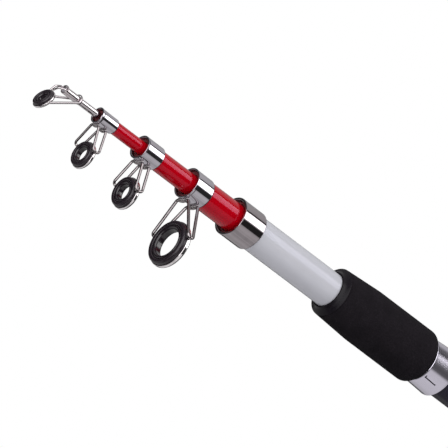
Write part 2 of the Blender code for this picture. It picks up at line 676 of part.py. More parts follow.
def butt_plug():
    """The screw plug that closes the butt, with its pad, seal and rubber button."""
    body = axle("butt_plug_axle")
    stem = BUTT_REAR_OD / 2 + GLUE_GAP - SLEEVE_STEP - SLIDE_GAP
    groove = stem - SEAL_WIDTH / 2
    head = PLUG_HEAD_OD / 2
    head_front = END_GAP + PLUG_STEM
    head_rear = head_front + PLUG_HEAD_LENGTH
    button = BUTTON_OD / 2
    groove_front = head_front - END_GAP - 2 * SEAL_WIDTH
    outline = [(0.0, 0.0), (0.0, stem), (-groove_front, stem), (-groove_front, groove),
               (-groove_front - SEAL_WIDTH - END_GAP, groove), (-groove_front - SEAL_WIDTH - END_GAP, stem),
               (-head_front, stem), (-head_front, head), (-head_rear, head, PLUG_HEAD_ROUND),
               (-head_rear, button), (BUTTON_DEPTH - head_rear, button), (BUTTON_DEPTH - head_rear, 0.0)]
    turned("butt_plug", plug_front, outline, FINE, black_plastic("butt_plug"), body, hollow=False)
    seal_front = plug_front - groove_front - END_GAP / 2
    turned("butt_seal", seal_front, tube_outline(SEAL_WIDTH, stem + SLIDE_GAP / 2, groove + GLUE_GAP), FINE,
           rubber("butt_seal"), body)
    pad_radius = main_bore(FOURTH_OD) / 2 - SLIDE_GAP
    pad = [(0.0, 0.0), (0.0, pad_radius), (-PAD_LENGTH, pad_radius), (-PAD_LENGTH, 0.0)]
    turned("butt_pad", pad_front, pad, FINE, foam("butt_pad"), body, hollow=False)
    button_front = plug_front - head_rear + BUTTON_DEPTH - END_GAP
    rise = BUTTON_DEPTH - END_GAP + BUTTON_PROUD
    disc = [(0.0, 0.0), (0.0, button - GLUE_GAP), (-rise, button - GLUE_GAP, BUTTON_EDGE),
            (-rise, 0.0)]
    turned("butt_button", button_front, disc, FINE, rubber("butt_button"), body, hollow=False)


tip_section()
sliding_section("second", 1, ferrule_1_front, SECOND_OD, TIP_OD, SECOND_TURN, FERRULE_1, GUIDE_1, SMALL)
sliding_section("third", 2, ferrule_2_front, THIRD_OD, SECOND_OD, THIRD_TURN, FERRULE_2, GUIDE_2, MIDDLE)
sliding_section("fourth", 3, ferrule_3_front, FOURTH_OD, THIRD_OD, FOURTH_TURN, FERRULE_3, GUIDE_3, FINE)
handle()
moving_hood()
lock_nut()
butt_plug()
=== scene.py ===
# %% [markdown]
# # A closed telescopic fishing rod
#
# The measured rod comes first, as a frame of plain solids that never moves. Each solid is then
# replaced by a finer piece of the same size in the same place, and each piece gets the finish of
# the real one: lacquer on glass fibre, chromed steel, ceramic, ground foam and moulded plastic.
# The rod lies along X with its tip towards +X, its line guides hang towards -Z, and all sizes are
# in metres.

# %% Load the measured rod
import math
from collections import namedtuple

import bmesh
import bpy
import numpy as np
from mathutils import Matrix, Vector


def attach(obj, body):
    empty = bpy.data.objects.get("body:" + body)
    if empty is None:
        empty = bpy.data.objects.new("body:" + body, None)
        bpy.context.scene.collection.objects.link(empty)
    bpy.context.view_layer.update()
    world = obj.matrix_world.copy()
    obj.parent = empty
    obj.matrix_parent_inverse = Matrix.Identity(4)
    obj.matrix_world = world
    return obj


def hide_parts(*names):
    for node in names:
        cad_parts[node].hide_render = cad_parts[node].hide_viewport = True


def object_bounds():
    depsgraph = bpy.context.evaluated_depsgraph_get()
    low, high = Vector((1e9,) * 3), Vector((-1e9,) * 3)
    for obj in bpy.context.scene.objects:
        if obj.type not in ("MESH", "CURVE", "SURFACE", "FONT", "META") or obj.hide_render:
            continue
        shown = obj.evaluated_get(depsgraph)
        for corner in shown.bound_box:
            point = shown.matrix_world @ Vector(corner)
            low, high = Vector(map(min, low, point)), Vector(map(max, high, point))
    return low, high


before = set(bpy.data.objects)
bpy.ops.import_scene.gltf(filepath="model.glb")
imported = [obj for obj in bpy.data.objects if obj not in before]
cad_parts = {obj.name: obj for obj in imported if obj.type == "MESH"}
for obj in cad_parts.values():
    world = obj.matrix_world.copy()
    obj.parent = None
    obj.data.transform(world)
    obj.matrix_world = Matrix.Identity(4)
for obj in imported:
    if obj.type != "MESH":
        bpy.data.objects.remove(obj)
CAD_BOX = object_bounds()
MM = 0.001
print("measured box, mm:", [round(side / MM, 1) for side in CAD_BOX[1] - CAD_BOX[0]])

# %% [markdown]
# ## Measuring the solids
#
# Most pieces of a rod are turned, so four numbers say nearly all about one: where its front and
# rear ends are, and how far its outside and its bore are from the axis. Reading them from the
# solids is better than typing them again, because the two models then can't drift apart.

# %% Read a turned piece from its solid
Turned = namedtuple("Turned", "front rear outer bore")


def corners_of(node):
    """Return the corners of a solid as an array."""
    return np.array([vertex.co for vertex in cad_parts[node].data.vertices], float)


def radii_of(corners):
    """Return how far each corner is from the rod's axis."""
    return np.hypot(corners[:, 1], corners[:, 2])


def turned(node):
    """Read the ends, the outer radius and the bore of a piece turned about the rod's axis."""
    corners = corners_of(node)
    radii = radii_of(corners)
    return Turned(corners[:, 0].max(), corners[:, 0].min(), radii.max(), radii.min())


def outer_at(node, station, within=1 * MM):
    """Return the outer radius of a turned piece near a station."""
    corners = corners_of(node)
    near = np.abs(corners[:, 0] - station) < within
    return radii_of(corners[near]).max()


butt_ferrule = turned("ferrule_4")
print("butt ferrule, mm:", [round(float(value) / MM, 2) for value in butt_ferrule])

# %% [markdown]
# ## Camera
#
# The rod fills a strip of the picture from corner to corner and shows almost no perspective, so
# the camera stands far off with a long lens. It looks a little upwards, because the mouths of the
# sections show from below. Three measured things fix it: the angle between the view and the rod,
# how far the camera has gone round the rod, and the slope of the rod's axis in the picture.

# %% Point the camera
PICTURE = 448
METRES_PER_PIXEL = 0.44 * MM
FOCAL_PIXELS = 12000
SENSOR = 36.0
VIEW_TO_ROD = math.radians(55.3)
ROUND_ROD = math.radians(12.0)
AXIS_SLOPE = Vector((0.7980, 0.6027))
FERRULE_PIXEL = Vector((230.84, 215.82))

along, side = math.cos(VIEW_TO_ROD), math.sin(VIEW_TO_ROD)
low, high = math.sin(ROUND_ROD), math.cos(ROUND_ROD)
back = Vector((along, high * side, -low * side))
to_butt = Vector((-side, high * along, -low * along))
upright = Vector((0.0, low, high))
right = to_butt * AXIS_SLOPE.x + upright * AXIS_SLOPE.y
up = upright * AXIS_SLOPE.x - to_butt * AXIS_SLOPE.y

shift = Vector((PICTURE / 2, PICTURE / 2)) - FERRULE_PIXEL
ferrule_centre = Vector((butt_ferrule.front, 0.0, 0.0))
aim = ferrule_centre + (right * shift.x - up * shift.y) * METRES_PER_PIXEL

lens = bpy.data.cameras.new("camera")
lens.sensor_width = SENSOR
lens.lens = FOCAL_PIXELS / PICTURE * SENSOR
lens.clip_end = 400.0    # beyond the far edge of the floor
camera = bpy.data.objects.new("camera", lens)
camera.matrix_world = Matrix.Translation(aim + back * METRES_PER_PIXEL * FOCAL_PIXELS) @ Matrix(
    (right, up, back)).transposed().to_4x4()
bpy.context.scene.collection.objects.link(camera)
bpy.context.scene.camera = camera
print("camera at", [round(value, 3) for value in camera.matrix_world.translation])

# %% [markdown]
# ## Nodes and colours
#
# Every finish below is a small tree of shader nodes. One function adds a node, sets its properties
# and fills its sockets, either with values or with the outputs of other nodes. Colours are written
# as the hex values that a picture shows and turned into the linear ones that a shader wants. A
# third function fills a colour ramp, which turns a pattern into shades of a colour.

# %% Helpers for every finish
def add_node(tree, kind, sockets=None, **settings):
    """Add a node with its settings, and give its sockets values or links."""
    made = tree.nodes.new(kind)
    for name, value in settings.items():
        setattr(made, name, value)
    for name, value in (sockets or {}).items():
        socket = made.inputs[name] if isinstance(name, int) else next(
            entry for entry in made.inputs if entry.name == name and entry.enabled)
        if isinstance(value, bpy.types.NodeSocket):
            tree.links.new(value, socket)
        else:
            socket.default_value = value
    return made


def linear(hex_colour, share=1.0):
    """Turn an sRGB hex colour, or a share of its light, into linear red, green, blue and alpha."""
    channels = [int(hex_colour[index:index + 2], 16) / 255 for index in (1, 3, 5)]
    return (*[share * (value / 12.92 if value <= 0.04045 else ((value + 0.055) / 1.055) ** 2.4)
              for value in channels], 1.0)


def fill_ramp(ramp, stops):
    """Give a colour ramp its stops, as pairs of position and colour."""
    while len(ramp.elements) > 1:
        ramp.elements.remove(ramp.elements[-1])
    ramp.elements[0].position, ramp.elements[0].color = stops[0]
    for position, colour in stops[1:]:
        ramp.elements.new(position).color = colour


print("a mid grey of #808080 is", round(linear("#808080")[0], 3), "linear")

# %% [markdown]
# ## The studio
#
# Chrome shows what stands round it, so the room matters as much as the metal. Lamps could light
# it, but the rod grows to four times its length when it is drawn out, so the lights are painted on
# the sky as strips that run along the rod and never end: a long softbox above the rod on the
# camera's side, the dark room behind the camera, and an even pale grey for the rest. A round tube
# that runs along X mirrors only one narrow cone of the sky towards this camera, and a tapered one
# mirrors a cone beside it. So the sky is divided along X: one set of strips for the straight tubes,
# a softer set for the tapered hood, and more contrast towards the tip, where the bent wires look
# and take their white cores and dark edges. The camera itself sees plain white.

# %% Light the room
WHITE = linear("#ffffff")
LEVEL = 1.09             # brightness of the whole room
SOFTBOX = 4.2            # brightness of the softbox in that room

# Strips of the sky by their angle round the rod, in degrees from +Y up to +Z, and their brightness.
# First those that the straight tubes mirror:
TUBES = ((-180, 0.06), (-160, 0.10), (-148, 0.50), (-126, 0.52), (-107, 0.66), (-90, 0.54), (-84, 0.50),
         (-80, 0.66), (-76, 0.50), (-62, 0.48), (-56, 0.52), (-52, 0.68), (-48, 0.58), (-36, 0.68),
         (-25, 0.66), (-16, 0.52), (-14.5, 0.03), (17, 0.03), (18.5, 0.35), (23, 0.90), (24.5, SOFTBOX),
         (63.5, SOFTBOX), (65.5, 0.50), (68, 0.06), (75.5, 0.06), (78, 0.56), (108, 0.58), (126, 0.46),
         (146, 0.42), (157, 0.10), (180, 0.05))
# Those that the tapered hood mirrors, and the sky beside them:
HOOD = ((-180, 0.20), (-155, 0.38), (-140, 0.45), (-118, 0.56), (-60, 0.62), (-24, 0.58), (-17, 0.30),
        (-13, 0.12), (0, 0.09), (11, 0.11), (23, 0.17), (35, 0.36), (46, 0.75), (54, 0.55), (62, 0.18),
        (70, 0.08), (94, 0.10), (105, 0.26), (116, 0.42), (150, 0.42), (180, 0.08))
GAP = ((-180, 0.06), (-170, 0.10), (-164, 0.55), (-104, 0.55), (-96, 0.10), (-20, 0.10), (0, 0.03),
       (63, 0.03), (78, 0.50), (110, 0.60), (140, 0.50), (155, 0.06), (180, 0.04))
# Ahead of the rod, round the tip's end and round the butt's end:
AHEAD = ((-180, 0.03), (-173, 0.06), (-168, 0.55), (-112, 0.50), (-104, 0.10), (-60, 0.08), (-30, 0.12),
         (-24, 2.40), (66, 2.40), (72, 0.30), (80, 0.50), (125, 0.50), (150, 0.08), (180, 0.03))
TIP_END = ((-180, 0.03), (-110, 0.06), (-82, 0.20), (-62, 1.60), (-20, 2.30), (63, 2.10), (76, 0.50),
           (88, 0.08), (150, 0.04), (180, 0.03))
BUTT_END = ((-180, 0.04), (20, 0.04), (24, 0.50), (63, 0.50), (66, 0.10), (180, 0.05))
# Where along X the sky turns from the butt end's strips to each set of the others
CHANGES = (((-0.70, -0.645), TUBES), ((-0.556, -0.545), HOOD), ((-0.40, -0.37), GAP),
           ((-0.05, 0.05), AHEAD), ((0.62, 0.86), TIP_END))

sky = bpy.data.worlds.new("studio")
bpy.context.scene.world = sky
sky.use_nodes = True
tree = sky.node_tree
tree.nodes.clear()
way = add_node(tree, "ShaderNodeSeparateXYZ",
               {"Vector": add_node(tree, "ShaderNodeTexCoord").outputs["Generated"]})
angle = add_node(tree, "ShaderNodeMath", {0: way.outputs["Z"], 1: way.outputs["Y"]},
                 operation="ARCTAN2")
turn = add_node(tree, "ShaderNodeMapRange", {"Value": angle.outputs["Value"], "From Min": -math.pi,
                                             "From Max": math.pi})


def strips_of_sky(strips):
    """A ramp round the rod, with its brightness scaled to fit into a colour."""
    ramp = add_node(tree, "ShaderNodeValToRGB", {"Fac": turn.outputs["Result"]})
    fill_ramp(ramp.color_ramp, [((degrees + 180) / 360, (*[value / SOFTBOX] * 3, 1.0))
                                for degrees, value in strips])
    return ramp.outputs["Color"]


whole_sky = strips_of_sky(BUTT_END)
for (start, end), strips in CHANGES:
    step = add_node(tree, "ShaderNodeMapRange", {"Value": way.outputs["X"], "From Min": start,
                                                 "From Max": end}, interpolation_type="SMOOTHSTEP")
    whole_sky = add_node(tree, "ShaderNodeMix", {"Factor": step.outputs["Result"], "A": whole_sky,
                                                 "B": strips_of_sky(strips)}, data_type="RGBA").outputs[2]
room = add_node(tree, "ShaderNodeBackground", {"Color": whole_sky, "Strength": SOFTBOX * LEVEL})
white = add_node(tree, "ShaderNodeBackground", {"Color": WHITE, "Strength": 1.0})
seen = add_node(tree, "ShaderNodeLightPath")
both = add_node(tree, "ShaderNodeMixShader", {"Fac": seen.outputs["Is Camera Ray"],
                                              1: room.outputs["Background"],
                                              2: white.outputs["Background"]})
add_node(tree, "ShaderNodeOutputWorld", {"Surface": both.outputs["Shader"]})
bpy.context.scene.view_settings.view_transform = "Standard"
print("stops round the sky of the straight tubes:", len(TUBES))

# %% [markdown]
# ## The floor
#
# A pale floor just under the lowest line guide bounces light up onto the rod and catches its
# shadow. The photo looks up at the rod from below the floor's level, so the underside of the floor
# lets the camera look through.

# %% Lay the floor
FLOOR_SIZE = 160.0
FLOOR_GAP = 0.5 * MM
FLOOR_GLOW = 0.25        # lifts the floor to the white round it, for the camera alone
floor_mesh = bpy.data.meshes.new("floor")
half = FLOOR_SIZE / 2
level = CAD_BOX[0].z - FLOOR_GAP
floor_mesh.from_pydata([(-half, -half, level), (half, -half, level), (half, half, level),
                        (-half, half, level)], [], [(0, 1, 2, 3)])
floor = bpy.data.objects.new("floor", floor_mesh)
floor.visible_glossy = False
bpy.context.scene.collection.objects.link(floor)

paint = bpy.data.materials.new("pale_floor")
paint.use_nodes = True
tree = paint.node_tree
tree.nodes.clear()
matt = add_node(tree, "ShaderNodeBsdfDiffuse", {"Color": linear("#f1f1f2")})
lift = add_node(tree, "ShaderNodeEmission", {"Color": WHITE, "Strength": FLOOR_GLOW})
seen = add_node(tree, "ShaderNodeLightPath")
lifted = add_node(tree, "ShaderNodeAddShader", {0: matt.outputs["BSDF"], 1: lift.outputs["Emission"]})
top = add_node(tree, "ShaderNodeMixShader", {"Fac": seen.outputs["Is Camera Ray"], 1: matt.outputs["BSDF"],
                                             2: lifted.outputs["Shader"]})
under = add_node(tree, "ShaderNodeBsdfTransparent")
facing = add_node(tree, "ShaderNodeNewGeometry")
from_below = add_node(tree, "ShaderNodeMath", {0: facing.outputs["Backfacing"],
                                               1: seen.outputs["Is Camera Ray"]}, operation="MULTIPLY")
whole = add_node(tree, "ShaderNodeMixShader", {"Fac": from_below.outputs["Value"], 1: top.outputs["Shader"],
                                               2: under.outputs["BSDF"]})
add_node(tree, "ShaderNodeOutputMaterial", {"Surface": whole.outputs["Shader"]})
floor_mesh.materials.append(paint)
print("floor at z =", round(level / MM, 1), "mm")

# %% [markdown]
# ## Starting a finish
#
# Each finish is a Principled shader with nodes in front of it. Patterns use object coordinates,
# which are metres along the rod here, so a grain's size is a real size.

# %% Start a material
def finish(name, **values):
    """Make a material and return it with its tree, its shader and its object coordinates."""
    made = bpy.data.materials.new(name)
    made.use_nodes = True
    tree = made.node_tree
    shader = tree.nodes["Principled BSDF"]
    for socket, value in values.items():
        shader.inputs[socket.replace("_", " ")].default_value = value
    place = add_node(tree, "ShaderNodeTexCoord").outputs["Object"]
    return made, tree, shader, place


def grain(size):
    """Return the noise scale that gives a grain of this size in metres."""
    return 1.0 / size


print("a 0.5 mm grain has scale", grain(0.5 * MM))

# %% [markdown]
# ## Lacquer on glass fibre
#
# The sections are tubes of glass fibre, sprayed with colour and dipped in clear lacquer. The dip
# leaves a glossy coat with long soft waves, and the colour lies a little unevenly under it. Two
# materials could be mixed for that, but the Principled shader has a clear coat of its own, and one
# noise under it and one on it give the eye a deep colour with a crisp white line along it.

# %% Lacquer
WAVE = 6 * MM            # length of the waves that the dip leaves
WAVE_DEPTH = 0.002 * MM
MOTTLE = 9 * MM          # size of the clouds in the colour
DRAWN_OUT = (0.35, 1.0, 1.0)


def lacquer(name, main, darker, painted_highlight_tint, level, coat, coat_roughness):
    """Sprayed colour under a dipped clear coat, its highlights painted in a tint for the light's colour."""
    made, tree, shader, place = finish(name, Roughness=0.1, Specular_IOR_Level=level,
                                       Specular_Tint=linear(painted_highlight_tint), Coat_Weight=coat,
                                       Coat_Roughness=coat_roughness)
    drawn = add_node(tree, "ShaderNodeMapping", {"Vector": place, "Scale": DRAWN_OUT})
    cloud = add_node(tree, "ShaderNodeTexNoise", {"Vector": drawn.outputs["Vector"], "Scale": grain(MOTTLE),
                                                  "Detail": 3.0})
    colour = add_node(tree, "ShaderNodeValToRGB", {"Fac": cloud.outputs["Fac"]})
    fill_ramp(colour.color_ramp, [(0.3, linear(darker)), (0.65, linear(main))])
    tree.links.new(colour.outputs["Color"], shader.inputs["Base Color"])
    swell = add_node(tree, "ShaderNodeTexNoise", {"Vector": drawn.outputs["Vector"], "Scale": grain(WAVE),
                                                  "Detail": 1.0})
    waves = add_node(tree, "ShaderNodeBump", {"Height": swell.outputs["Fac"], "Distance": WAVE_DEPTH,
                                              "Strength": 1.0})
    for socket in ("Normal", "Coat Normal"):
        tree.links.new(waves.outputs["Normal"], shader.inputs[socket])
    return made


# The specular tints paint the highlights pink on the red and lavender on the grey, for the light's colour.
red_lacquer = lacquer("red_lacquer_on_glass_fibre", "#ad0011", "#a6000f", "#ff8dd2", 0.31, 0.16, 0.04)
grey_lacquer = lacquer("pale_grey_lacquer_on_glass_fibre", "#bfbfc6", "#bbbbc2", "#d8d4ff", 0.18, 0.2, 0.2)
print("lacquers:", red_lacquer.name, grey_lacquer.name)

# %% [markdown]
# ## Cut glass fibre
#
# Inside its mouth a section is bare laminate, cut off square: brown resin with fibres in it. It
# has no gloss at all, so the mouth looks like a dark hole with a reddish edge. One fibre is too
# fine to show, so the noise is as coarse as a bundle of them.

# %% Bare laminate
FIBRE_BUNDLE = 0.6 * MM
made, tree, shader, place = finish("cut_glass_fibre_laminate", Roughness=0.7, Specular_IOR_Level=0.25)
fibres = add_node(tree, "ShaderNodeTexNoise", {"Vector": place, "Scale": grain(FIBRE_BUNDLE),
                                               "Detail": 4.0})
resin = add_node(tree, "ShaderNodeValToRGB", {"Fac": fibres.outputs["Fac"]})
fill_ramp(resin.color_ramp, [(0.35, linear("#5a2a2e")), (0.7, linear("#85474a"))])
tree.links.new(resin.outputs["Color"], shader.inputs["Base Color"])
bare_laminate = made
print("laminate:", bare_laminate.name)

# %% [markdown]
# ## Chromed steel
#
# The ferrules are turned steel tubes with bright chrome plate, and the guides are chromed wire.
# To the eye that is nothing but the room round it, mirrored sharply. A plain grey metal would do
# that too, but chrome keeps the lines of whatever was under it, so the ferrules carry fine turning
# rings and the wire a faint draw along its length, and the wear of handling shows as soft dull
# patches. The chromes are one metal at several brightnesses: painted lighter on the small ferrules,
# the tip and the cups, and painted darker on the wire, for how bright each shows in this light.

# %% Chrome
ALL_ROUND = (1.0, 0.04, 0.04)    # turning marks are short along the rod and long round it


def chrome(name, tint, roughness, ring_pitch, ring_depth, smear):
    """Bright chrome over turned or drawn steel."""
    made, tree, shader, place = finish(name, Metallic=1.0)
    haze = add_node(tree, "ShaderNodeTexNoise", {"Vector": place, "Scale": grain(smear), "Detail": 4.0})
    dulled = add_node(tree, "ShaderNodeMapRange", {"Value": haze.outputs["Fac"], "From Min": 0.35,
                                                   "From Max": 0.75, "To Min": roughness * 0.7,
                                                   "To Max": roughness * 1.6})
    tree.links.new(dulled.outputs["Result"], shader.inputs["Roughness"])
    shade = add_node(tree, "ShaderNodeValToRGB", {"Fac": haze.outputs["Fac"]})
    fill_ramp(shade.color_ramp, [(0.3, linear(tint, 0.9)), (0.7, linear(tint))])
    tree.links.new(shade.outputs["Color"], shader.inputs["Base Color"])
    squeezed = add_node(tree, "ShaderNodeMapping", {"Vector": place, "Scale": ALL_ROUND})
    rings = add_node(tree, "ShaderNodeTexNoise", {"Vector": squeezed.outputs["Vector"],
                                                  "Scale": grain(ring_pitch), "Detail": 2.0})
    cut = add_node(tree, "ShaderNodeBump", {"Height": rings.outputs["Fac"], "Distance": ring_depth,
                                            "Strength": 1.0})
    tree.links.new(cut.outputs["Normal"], shader.inputs["Normal"])
    return made


ferrule_chrome = chrome("bright_chrome_on_turned_steel", "#a79fa3", 0.06, 0.25 * MM, 0.0004 * MM, 3 * MM)
# Copies of one chrome painted lighter or darker, set for how bright each piece shows.
ferrule_chrome_painted_lighter = chrome("chrome_painted_lighter_on_small_ferrules", "#c0bbc3", 0.06, 0.25 * MM, 0.0004 * MM, 3 * MM)
wire_chrome_painted_darker = chrome("chrome_painted_darker_on_steel_wire", "#9c9496", 0.08, 2.5 * MM, 0.0001 * MM, 2 * MM)
tip_chrome_painted_lighter = chrome("chrome_painted_lighter_on_tip_tube", "#c9c1c4", 0.06, 2.5 * MM, 0.0001 * MM, 3 * MM)
cup_chrome_painted_lighter = chrome("chrome_painted_lighter_on_drawn_cup", "#f6f0f2", 0.08, 0.5 * MM, 0.0003 * MM, 2 * MM)
print("chromes:", ferrule_chrome.name, ferrule_chrome_painted_lighter.name, wire_chrome_painted_darker.name, tip_chrome_painted_lighter.name,
      cup_chrome_painted_lighter.name)

# %% [markdown]
# ## Solder
#
# The wires are silver-soldered to the ferrules and to the ring cups, and plated over with them.
# Solder freezes in small lumps, so the plate over it is dull and uneven beside the chrome. Its tone
# is also painted pale, to lift the shade and the dark reflections under the feet.

# %% Plated solder
LUMP, LUMP_HEIGHT = 0.5 * MM, 0.04 * MM
made, tree, shader, place = finish("plated_solder_painted_pale", Metallic=0.75, Roughness=0.5)
lumps = add_node(tree, "ShaderNodeTexNoise", {"Vector": place, "Scale": grain(LUMP), "Detail": 3.0})
tone = add_node(tree, "ShaderNodeValToRGB", {"Fac": lumps.outputs["Fac"]})
# Painted pale: lifts the shade under the feet and lugs, with uneven lumps in the tone.
fill_ramp(tone.color_ramp, [(0.3, linear("#c4bcbc")), (0.65, linear("#f0ecec"))])
tree.links.new(tone.outputs["Color"], shader.inputs["Base Color"])
frozen = add_node(tree, "ShaderNodeBump", {"Height": lumps.outputs["Fac"], "Distance": LUMP_HEIGHT,
                                           "Strength": 0.8})
tree.links.new(frozen.outputs["Normal"], shader.inputs["Normal"])
solder = made
print("solder:", solder.name)

# %% [markdown]
# ## Brushed steel
#
# The hoods are pressed from stainless sheet and brushed while they spin, so hair-fine scratches
# run round them, and they smear what the steel reflects into soft bands. An anisotropic shader
# could smear it as well, but noise that is squeezed along the rod also shows the scratches. Real
# ones are finer than a pixel, and these are as coarse as they need to be to show.

# %% Brushed stainless steel
SCRATCH, SCRATCH_DEPTH = 0.3 * MM, 0.0007 * MM
BRUSHED_ROUND = (1.0, 0.03, 0.03)
made, tree, shader, place = finish("brushed_stainless_steel", Metallic=1.0, Base_Color=linear("#dcd7e5"))
round_it = add_node(tree, "ShaderNodeMapping", {"Vector": place, "Scale": BRUSHED_ROUND})
scratches = add_node(tree, "ShaderNodeTexNoise", {"Vector": round_it.outputs["Vector"],
                                                  "Scale": grain(SCRATCH), "Detail": 3.0})
rough = add_node(tree, "ShaderNodeMapRange", {"Value": scratches.outputs["Fac"], "From Min": 0.3,
                                              "From Max": 0.7, "To Min": 0.09, "To Max": 0.14})
tree.links.new(rough.outputs["Result"], shader.inputs["Roughness"])
hairs = add_node(tree, "ShaderNodeBump", {"Height": scratches.outputs["Fac"], "Distance": SCRATCH_DEPTH,
                                          "Strength": 1.0})
tree.links.new(hairs.outputs["Normal"], shader.inputs["Normal"])
brushed_steel = made
print("hoods:", brushed_steel.name)

# %% [markdown]
# ## Foam, rubber, plastic and ceramic
#
# The grips are closed-cell foam, ground to shape on a lathe: every cell that the stone opened is a
# tiny pit, so the surface is black, dull and fine-grained. Cells are what a Voronoi pattern draws.
# The other blacks differ in their gloss alone, so one function makes them: the reel seat is
# moulded nylon with a soft sheen, a ring's liner a slightly shinier plastic, the ring itself
# polished ceramic with a glassy glint, and the plug's button and seal are dull rubber. The front
# face of the foregrip is cut with a hot blade, which melts a smooth skin on it.

# %% Ground foam
FOAM_CELL = 0.45 * MM    # a little coarser than real cells, which the picture can't show
PIT_DEPTH = 0.05 * MM
FOAM_CLOUD = 7 * MM      # size of the patches that the stone left rougher or smoother
made, tree, shader, place = finish("ground_closed_cell_foam", Roughness=0.95, Specular_IOR_Level=0.12)
cells = add_node(tree, "ShaderNodeTexVoronoi", {"Vector": place, "Scale": grain(FOAM_CELL)})
cloud = add_node(tree, "ShaderNodeTexNoise", {"Vector": place, "Scale": grain(FOAM_CLOUD), "Detail": 5.0})
mixed = add_node(tree, "ShaderNodeMath", {0: cells.outputs["Distance"], 1: cloud.outputs["Fac"]},
                 operation="MULTIPLY")
foam_tone = add_node(tree, "ShaderNodeValToRGB", {"Fac": mixed.outputs["Value"]})
fill_ramp(foam_tone.color_ramp, [(0.05, linear("#110e12")), (0.5, linear("#1f1b20"))])
tree.links.new(foam_tone.outputs["Color"], shader.inputs["Base Color"])
pits = add_node(tree, "ShaderNodeBump", {"Height": cells.outputs["Distance"], "Distance": PIT_DEPTH,
                                         "Strength": 0.6})
tree.links.new(pits.outputs["Normal"], shader.inputs["Normal"])
ground_foam = made
print("foam:", ground_foam.name, "with cells of", FOAM_CELL / MM, "mm")


# %% Moulded and polished blacks
def moulded(name, colour, roughness, texture, depth, level=0.5):
    """A moulded black with the fine texture of its mould."""
    made, tree, shader, place = finish(name, Specular_IOR_Level=level)
    skin = add_node(tree, "ShaderNodeTexNoise", {"Vector": place, "Scale": grain(texture), "Detail": 3.0})
    rough = add_node(tree, "ShaderNodeMapRange", {"Value": skin.outputs["Fac"], "From Min": 0.3,
                                                  "From Max": 0.7, "To Min": roughness * 0.8,
                                                  "To Max": roughness * 1.25})
    tree.links.new(rough.outputs["Result"], shader.inputs["Roughness"])
    tone = add_node(tree, "ShaderNodeValToRGB", {"Fac": skin.outputs["Fac"]})
    fill_ramp(tone.color_ramp, [(0.35, linear(colour, 0.75)), (0.65, linear(colour))])
    tree.links.new(tone.outputs["Color"], shader.inputs["Base Color"])
    relief = add_node(tree, "ShaderNodeBump", {"Height": skin.outputs["Fac"], "Distance": depth,
                                               "Strength": 1.0})
    tree.links.new(relief.outputs["Normal"], shader.inputs["Normal"])
    return made


seat_plastic = moulded("moulded_nylon", "#2a2734", 0.4, 0.8 * MM, 0.003 * MM, 0.12)
liner_plastic = moulded("moulded_shock_ring", "#281f27", 0.32, 0.7 * MM, 0.002 * MM)
ring_ceramic = moulded("polished_black_ceramic", "#20181f", 0.16, 2 * MM, 0.0003 * MM, 0.6)
cut_face = moulded("sealed_foam_face", "#141017", 0.3, 0.6 * MM, 0.001 * MM, 0.17)
black_rubber = moulded("moulded_rubber", "#1e1e1f", 0.75, 0.5 * MM, 0.01 * MM, 0.3)
print("blacks:", seat_plastic.name, liner_plastic.name, ring_ceramic.name, black_rubber.name,
      cut_face.name)

# %% [markdown]
# ## Turning on a lathe
#
# A turned piece is an outline swept round an axis. The outline is a short list of corners, each
# with the radius of its rounding, and the helper draws the arcs, so that every edge is as soft as
# the tool that made it. The same arcs bend the wire of the guides further down. Blender's Screw
# modifier could sweep the outline too, but a mesh made here can have a second material in its bore
# and a thread cut into it.

# %% Round the corners of an outline
def bend(corners, radii, steps=8, closed=False):
    """Return the path through the corners with each bend as an arc."""
    path = []
    count = len(corners)
    for index, corner in enumerate(corners):
        if radii[index] == 0 or (not closed and index in (0, count - 1)):
            path.append(corner)
            continue
        behind = (corners[index - 1] - corner).normalized()
        ahead = (corners[(index + 1) % count] - corner).normalized()
        turn = math.pi - behind.angle(ahead)
        reach = radii[index] * math.tan(turn / 2)
        centre = corner + (behind + ahead).normalized() * radii[index] / math.cos(turn / 2)
        start = corner + behind * reach - centre
        pivot = start.cross(corner + ahead * reach - centre)
        for step in range(steps + 1):
            path.append(centre + Matrix.Rotation(turn * step / steps, 3, pivot) @ start)
    return path


def soften(outline, steps=6, closed=True):
    """Round those corners (x, radius, rounding) of an outline that have a rounding."""
    corners = [Vector((x, radius, 0.0)) for x, radius, *_ in outline]
    radii = [corner[2] if len(corner) > 2 else 0.0 for corner in outline]
    return [point.xy for point in bend(corners, radii, steps, closed)]


square = [(0.0, 2.0, 0.1), (1.0, 2.0, 0.1), (1.0, 1.0, 0.1), (0.0, 1.0, 0.1)]
print("a square with four soft corners has", len(soften(square)), "points")

# %% [markdown]
# Smooth shading takes the mean of the faces that meet at a corner. On a long tube with fine
# roundings that bends the highlights towards the ends, so the Weighted Normal modifier lets the
# large faces decide. What a modifier or a curve makes is kept as a plain mesh.

# %% Shade a piece
SHARP = math.radians(38)


def evaluated_mesh(holder):
    """Return a new mesh of what an object's curve or modifiers make."""
    bpy.context.view_layer.update()
    return bpy.data.meshes.new_from_object(holder.evaluated_get(bpy.context.evaluated_depsgraph_get()))


def keep_result(piece):
    """Replace a piece's mesh by what its modifiers make of it."""
    piece.data = evaluated_mesh(piece)
    piece.modifiers.clear()


def even_normals(piece, sharp=SHARP):
    """Shade a piece smooth, with normals that its large faces decide, and keep that as its mesh."""
    piece.data.shade_smooth()
    piece.data.set_sharp_from_angle(angle=sharp)
    weighted = piece.modifiers.new("even", "WEIGHTED_NORMAL")
    weighted.keep_sharp = True
    keep_result(piece)


